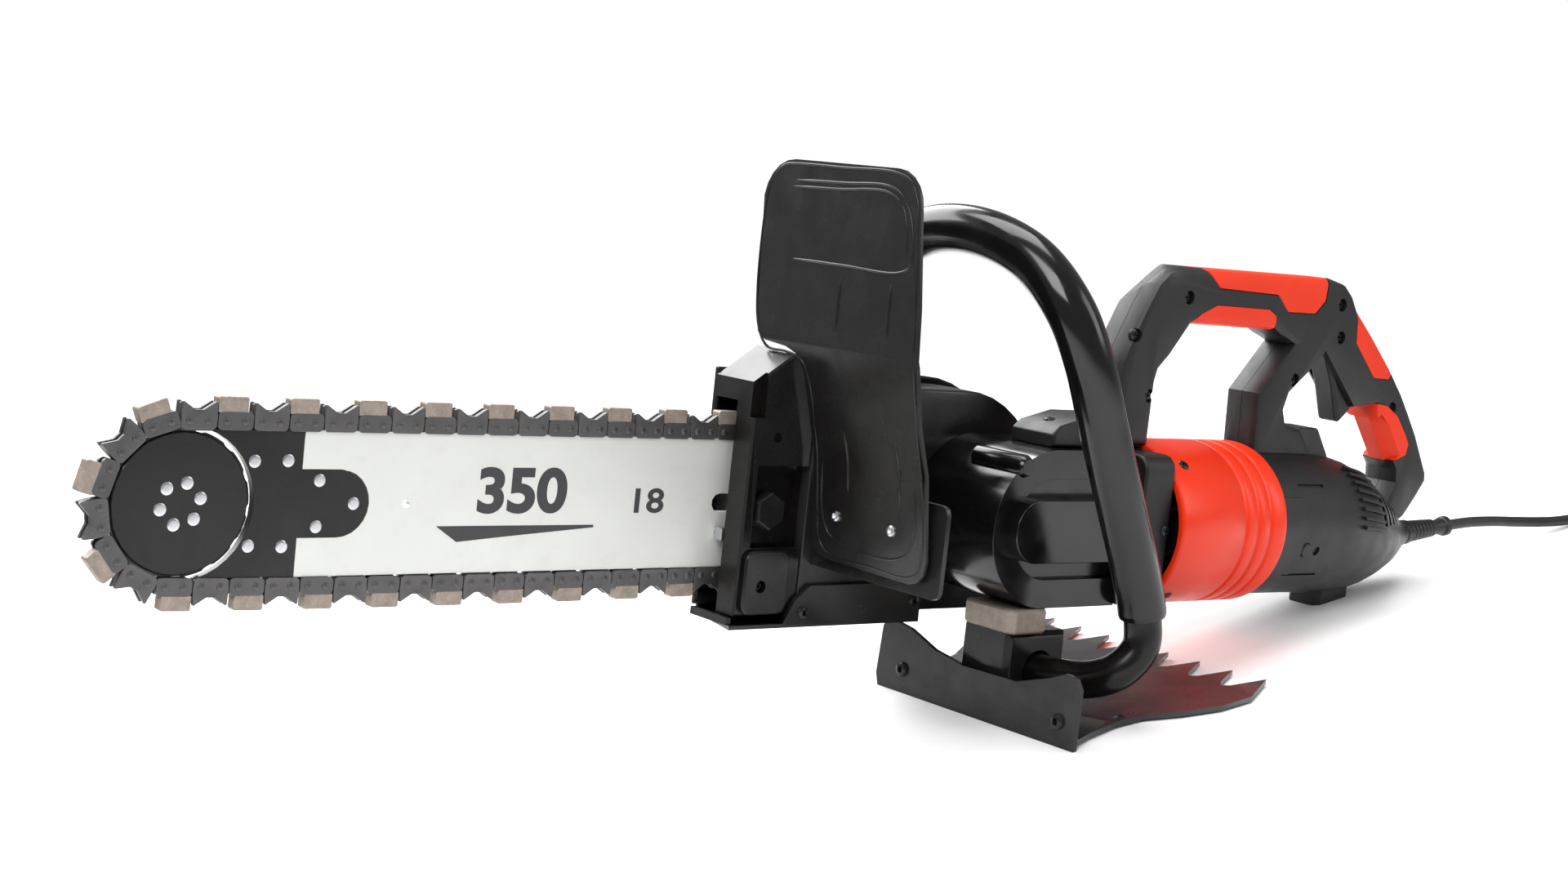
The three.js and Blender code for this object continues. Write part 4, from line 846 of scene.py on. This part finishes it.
def make_gear_head():
    body = prism_y("gear_head_casting", arch(HEAD_R, HEAD_REAR), HEAD_NEAR, HEAD_FAR)
    beyond = HEAD_REAR + 25
    drill(body, [
        prism_y("recess", arch(RECESS_R, beyond), -130, HEAD_NEAR + RECESS_DEPTH),
        prism_y("gear_room", arch(ROOM_R, beyond), ROOM_NEAR, ROOM_FAR),
        shaft_hole("shaft_bore", BORE_R, SEAT_FAR, 0),
        shaft_hole("bearing_seat", SEAT_R, SEAT_NEAR, SEAT_FAR),
    ])
    settle(round_edges(body, 3.0, 4), "saw", "gear_head_black", ["gear_head"])
    slot = [*half_round(BOSS_TO, BOSS_R, -90), *half_round(BOSS_FROM, BOSS_R, 90)]
    boss = prism_y("gear_head_boss", slot, BOSS_NEAR, BOSS_FAR)
    drill(boss, [shaft_hole("bearing_seat", SEAT_R, SEAT_NEAR, SEAT_FAR)])
    settle(round_edges(boss, 3.0, 4), "saw", "gear_head_black")
    lug = [(0, -1), (7, -1), (7, 36), (5.2, 39.4), (4.6, 40), (0, 40)]
    settle(lathe("gear_head_lug", (146, -60, 37), (0, -1, 0), lug, 48), "saw", "gear_head_black")


make_gear_head()


# ---- hand guard ----
GUARD_X = [(220, 22), (97, 22), (35, 41), (-40, 50)]


def guard_face(z):
    """X of the guard's front face at a height."""
    for (z1, x1), (z0, x0) in zip(GUARD_X, GUARD_X[1:]):
        if z >= z0:
            return x0 + (x1 - x0) * (z - z0) / (z1 - z0)
    return GUARD_X[-1][1]


def bead(name, points, radius=0.9):
    """Raised rib on the guard's front face through (Y, Z) points."""
    points = [(guard_face(z) + 0.3, y, z) for y, z in points]
    line = smooth_line(points, 8)
    taper = [radius * min(1.0, 0.35 + 0.25 * min(i, len(line) - 1 - i)) for i in range(len(line))]
    return settle(sweep(name, line, taper, 12), "saw", "black_metal")


def make_guard_ribs():
    bead("guard_border_outer", [(-14, 186), (-54, 186.8), (-94.7, 187.1), (-105.5, 180.9), (-112.8, 170.6),
                                (-116.1, 147.1), (-108.8, 142.5), (-60, 142), (-17.6, 142.1)])
    bead("guard_border_inner", [(-11, 182.3), (-50, 183.2), (-93.6, 184), (-105.3, 176.6), (-109.7, 166),
                                (-111.7, 150)], 0.8)
    bead("guard_rib_one_high", [(-60.7, 135), (-60.9, 120), (-61.1, 104)], 1.1)
    bead("guard_rib_two_high", [(-102.4, 135.7), (-102.9, 120), (-103.4, 104)], 1.1)
    bead("guard_rib_one_low", [(-61.4, 50), (-61.9, 36), (-62.4, 17)], 1.1)
    bead("guard_rib_two_low", [(-104.3, 50), (-104.9, 36), (-105.5, 17)], 1.1)
    bead("guard_foot_border", [(-40, 30), (-40, 4), (-46, -10), (-60, -14), (-100, -15), (-113, -9),
                               (-118, 4), (-117.5, 30)])
    bead("guard_rim", [(-36, 0), (-35.5, 40), (-35.5, 76), (-31, 86), (-19, 89.5), (0, 91), (6, 101),
                       (10.6, 122), (10.6, 172), (7, 186), (-3, 194), (-12, 195), (-54, 195.2), (-98, 195),
                       (-109, 191), (-116.2, 180), (-119.2, 160), (-123.6, 124), (-126.2, 94),
                       (-123, 62), (-124.4, 20),
                       (-125, -8), (-121, -18.5), (-113, -22.5), (-80, -22.4), (-46, -22), (-38, -15),
                       (-36, 0)], 0.8)
    for y in (-53, -100):
        screw(f"guard_screw_{-y}", (guard_face(1) - 0.1, y, 1), (-1, 0, 0.12), 3.3, 1.9, "hex", slot="steel")


make_guard_ribs()


# ---- tail: panels, seams and cooling ribs ----
TAIL = [(362, 0, 48), (415, -0.3, 48), (431, -1, 47.8), (447, -2.5, 46.8), (464, -4, 44.8), (482, -6, 40.6),
        (500, -8.5, 33.6), (522, -11, 23.6), (536, -12, 15.6), (551, -10.7, 9.2)]


def tail_round(x):
    """Centre height and radius of the tail at a distance along the saw."""
    for (x0, z0, r0), (x1, z1, r1) in zip(TAIL, TAIL[1:]):
        if x <= x1:
            part = (x - x0) / (x1 - x0)
            return z0 + (z1 - z0) * part, r0 + (r1 - r0) * part
    return TAIL[-1][1:]


def tail_patch(name, x0, x1, a0, a1, low, high):
    """Curved plate on the tail between two distances and two angles; 0 is the near side and 90 the top."""
    along = max(2, int((x1 - x0) / 4))
    around = max(2, int(abs(a1 - a0) / 4))
    vertices, faces = [], []
    for grow in (low, high):
        for i in range(along + 1):
            x = x0 + (x1 - x0) * i / along
            z, r = tail_round(x)
            for j in range(around + 1):
                a = math.radians(a0 + (a1 - a0) * j / around)
                vertices.append((x, MOTOR_Y - (r + grow) * math.cos(a), z + (r + grow) * math.sin(a)))
    row, layer = around + 1, (along + 1) * (around + 1)
    for i in range(along):
        for j in range(around):
            k = i * row + j
            faces.append((k, k + 1, k + row + 1, k + row))
            faces.append((layer + k, layer + k + row, layer + k + row + 1, layer + k + 1))
    edge = list(range(row)) + [i * row + around for i in range(1, along + 1)]
    edge += [along * row + j for j in range(around - 1, -1, -1)] + [i * row for i in range(along - 1, 0, -1)]
    for a, b in zip(edge, edge[1:] + edge[:1]):
        faces.append((a, layer + a, layer + b, b))
    return faces_outward(mesh_piece(name, vertices, faces))


def tail_cutters():
    seams = ((383, 409, 37), (379, 413, -37.5), (383, 409, 143), (379, 413, 217))
    cutters = [tail_patch(f"seam_{i}", x0, x1, a - 1.2, a + 1.2, -1.6, 3)
               for i, (x0, x1, a) in enumerate(seams)]
    z, r = tail_round(400)
    out = Vector((0, -math.cos(math.radians(-15)), math.sin(math.radians(-15))))
    cutters.append(well(Vector((400, MOTOR_Y, z)) + out * r, out, 3.2, 1.8))
    return cutters


def make_tail_details():
    for name, a0, a1 in (("near", -36, 27), ("far", 153, 216)):
        panel = round_edges(tail_patch(f"tail_panel_{name}", 363, 383.5, a0, a1, -0.5, 1.3), 0.8, 2)
        settle(panel, "saw", "black_plastic")
        for i in range(8):
            a = 6 + 7.5 * i if name == "near" else 174 - 7.5 * i
            shift = 0.35 * i
            rib = tail_patch(f"tail_rib_{name}_{i}", 447 - shift, 475 - shift, a - 1.4, a + 1.4, -0.5, 2.6)
            settle(round_edges(rib, 0.5, 2), "saw", "black_plastic")
    outline = [(397, 47), (411, 61.5), (413, 62.6), (429.5, 62.6), (431.5, 61.6), (444, 45), (444, 42),
               (397, 42)]
    block = prism_y("tail_top_block", outline, -82, -58)
    settle(round_edges(block, 1.2, 3), "saw", "black_plastic")


make_tail_details()


# ---- finished copies of the CAD nodes ----
HANDLE_SCREWS = [(285, 141.1), (259.6, 79.5), (397.3, 93.7), (436.4, 144.5), (439.4, 123.1), (505.3, 77.9),
                 (241.7, 116)]


def finish_nodes():
    near = (0, -1, 0)
    wells = [well((x, HANDLE_NEAR, z), near, 4.3, 4.0) for x, z in HANDLE_SCREWS]
    refined("handle_shell_near", 1.2, 3, wells)
    refined("tail_housing", 0.6, 2, tail_cutters())
    pad = well((15.1, -29.5, -43.7), near, 3.6, 5.0)
    dimple = well((19.1, -26, 41.2), near, 3.0, 2.0)
    refined("nose_block", 0.8, 2, [pad, dimple])
    for name, width in (
        ("guide_bar", 0.25), ("bar_nose", 0.25), ("case_body", 1.0), ("side_cover", 0.8), ("chip_tray", 0.7),
        ("motor_flange", 0.8), ("grip_top", 1.0), ("grip_under", 0.9), ("grip_rear", 1.0), ("grip_low", 0.9),
        ("handle_shell_far", 1.2), ("trigger", 1.0),
        ("top_bracket", 0.8), ("hand_guard", 0.7), ("guard_bracket", 0.6), ("handle_clamp_top", 0.8),
        ("spacer_block", 0.8), ("handle_clamp_low", 0.8), ("front_plate", 0.8), ("claw_plate", 0.7),
        ("bar_nut_front", 0.4), ("bar_nut_rear", 0.4), ("tension_screw", 0.3), ("brush_cap_near", 0.4),
        ("brush_cap_far", 0.4), ("bar_bolt", 0.3), ("bar_stud", 0.3),
    ):
        refined(name, width)
    for i, (x, z) in enumerate(HANDLE_SCREWS):
        screw(f"handle_screw_{i}", (x, HANDLE_NEAR + 3.6, z), near, 3.6, 1.8)


finish_nodes()


def more_screws():
    near = (0, -1, 0)
    screw("pad_screw", (15.1, -25.2, -43.7), near, 2.9, 2.0, "hex")
    for x, z in ((47.8, -59.4), (133.3, -54.7)):
        screw(f"tray_screw_{int(x)}", (x, -29.5, z), near, 3.6, 2.2, "hex")
    for x, z in ((66, 60), (66, -50), (150, 60), (205, -38), (222, 12)):
        screw(f"cover_screw_{x}_{z}", (x, COVER_FAR, z), (0, 1, 0), 4.2, 2.4, "cross")
    for y in (-14.5, -146):
        screw(f"plate_screw_{int(-y)}", (146.1, y, -101), (-1, 0, 0), 4.6, 2.6, "hex")
    for x in (190, 219):
        screw(f"bracket_screw_{x}", (x, MOTOR_Y, 60 if x < 200 else 65.8), (0, 0, 1), 4.4, 3.0, "hex")
    screw("flange_screw_near", (256.9, -111, 0.9), near, 3.4, 1.8, "cross")
    for x, z in ((277.2, 40), (278.3, -41.3)):
        away = Vector((0, -1, 0)) * math.sqrt(MOTOR_R ** 2 - z ** 2) + Vector((0, 0, z))
        seat = Vector((x, MOTOR_Y, 0)) + away * ((MOTOR_R - 0.4) / away.length)
        screw(f"motor_screw_{int(abs(z))}", seat, away, 3.6, 1.6, "cross")


more_screws()


# ---- floor and light ----
def softbox(name, position, target, size, power):
    data = bpy.data.lights.new(name, "AREA")
    data.shape = "RECTANGLE"
    data.size, data.size_y = size
    data.energy = power
    lamp = link(bpy.data.objects.new(name, data))
    direction = Vector(target) - Vector(position)
    turn = direction.to_track_quat("-Z", "Y").to_matrix().to_4x4()
    lamp.matrix_world = Matrix.Translation(position) @ turn


def make_floor():
    mesh = bpy.data.meshes.new("floor")
    mesh.from_pydata([(-30, -30, 0), (30, -30, 0), (30, 30, 0), (-30, 30, 0)], [], [(0, 1, 2, 3)])
    floor = link(bpy.data.objects.new("floor", mesh))
    pale = bpy.data.materials.new("floor_pale")
    pale.use_nodes = True
    tree = pale.node_tree
    shader = tree.nodes["Principled BSDF"]
    shader.inputs["Base Color"].default_value = (0.93, 0.93, 0.93, 1)
    shader.inputs["Roughness"].default_value = 0.9
    clear = tree.nodes.new("ShaderNodeBsdfTransparent")
    where = tree.nodes.new("ShaderNodeTexCoord").outputs["Object"]
    away = tree.nodes.new("ShaderNodeVectorMath")
    away.operation = "LENGTH"
    tree.links.new(where, away.inputs[0])
    mix = tree.nodes.new("ShaderNodeMixShader")
    tree.links.new(spread(tree, away.outputs["Value"], 0.55, 1.3, 0.0, 1.0), mix.inputs["Fac"])
    tree.links.new(shader.outputs["BSDF"], mix.inputs[1])
    tree.links.new(clear.outputs["BSDF"], mix.inputs[2])
    tree.links.new(mix.outputs["Shader"], tree.nodes["Material Output"].inputs["Surface"])
    mesh.materials.append(pale)


def make_world():
    """White to the camera, softer to the object, as in a light tent."""
    world = bpy.data.worlds.new("studio")
    bpy.context.scene.world = world
    world.use_nodes = True
    tree = world.node_tree
    seen = tree.nodes["Background"]
    seen.inputs["Color"].default_value = (1, 1, 1, 1)
    seen.inputs["Strength"].default_value = 1.0
    tent = tree.nodes.new("ShaderNodeBackground")
    tent.inputs["Color"].default_value = (1, 1, 1, 1)
    tent.inputs["Strength"].default_value = 0.3
    path = tree.nodes.new("ShaderNodeLightPath")
    mix = tree.nodes.new("ShaderNodeMixShader")
    tree.links.new(path.outputs["Is Camera Ray"], mix.inputs["Fac"])
    tree.links.new(tent.outputs["Background"], mix.inputs[1])
    tree.links.new(seen.outputs["Background"], mix.inputs[2])
    tree.links.new(mix.outputs["Shader"], tree.nodes["World Output"].inputs["Surface"])


make_floor()
make_world()
softbox("key_softbox", (-1.2, -0.7, 1.6), (0, 0, 0.12), (1.1, 1.1), 30)
softbox("top_softbox", (0.2, 0.3, 2.0), (0, 0, 0.1), (1.6, 1.0), 32)
softbox("side_softbox", (1.4, -1.3, 0.9), (0.1, 0, 0.15), (0.8, 1.2), 9)
softbox("back_softbox", (0.0, 1.4, 1.2), (0.05, 0, 0.15), (2.3, 1.0), 55)
bpy.context.scene.view_settings.view_transform = "Standard"
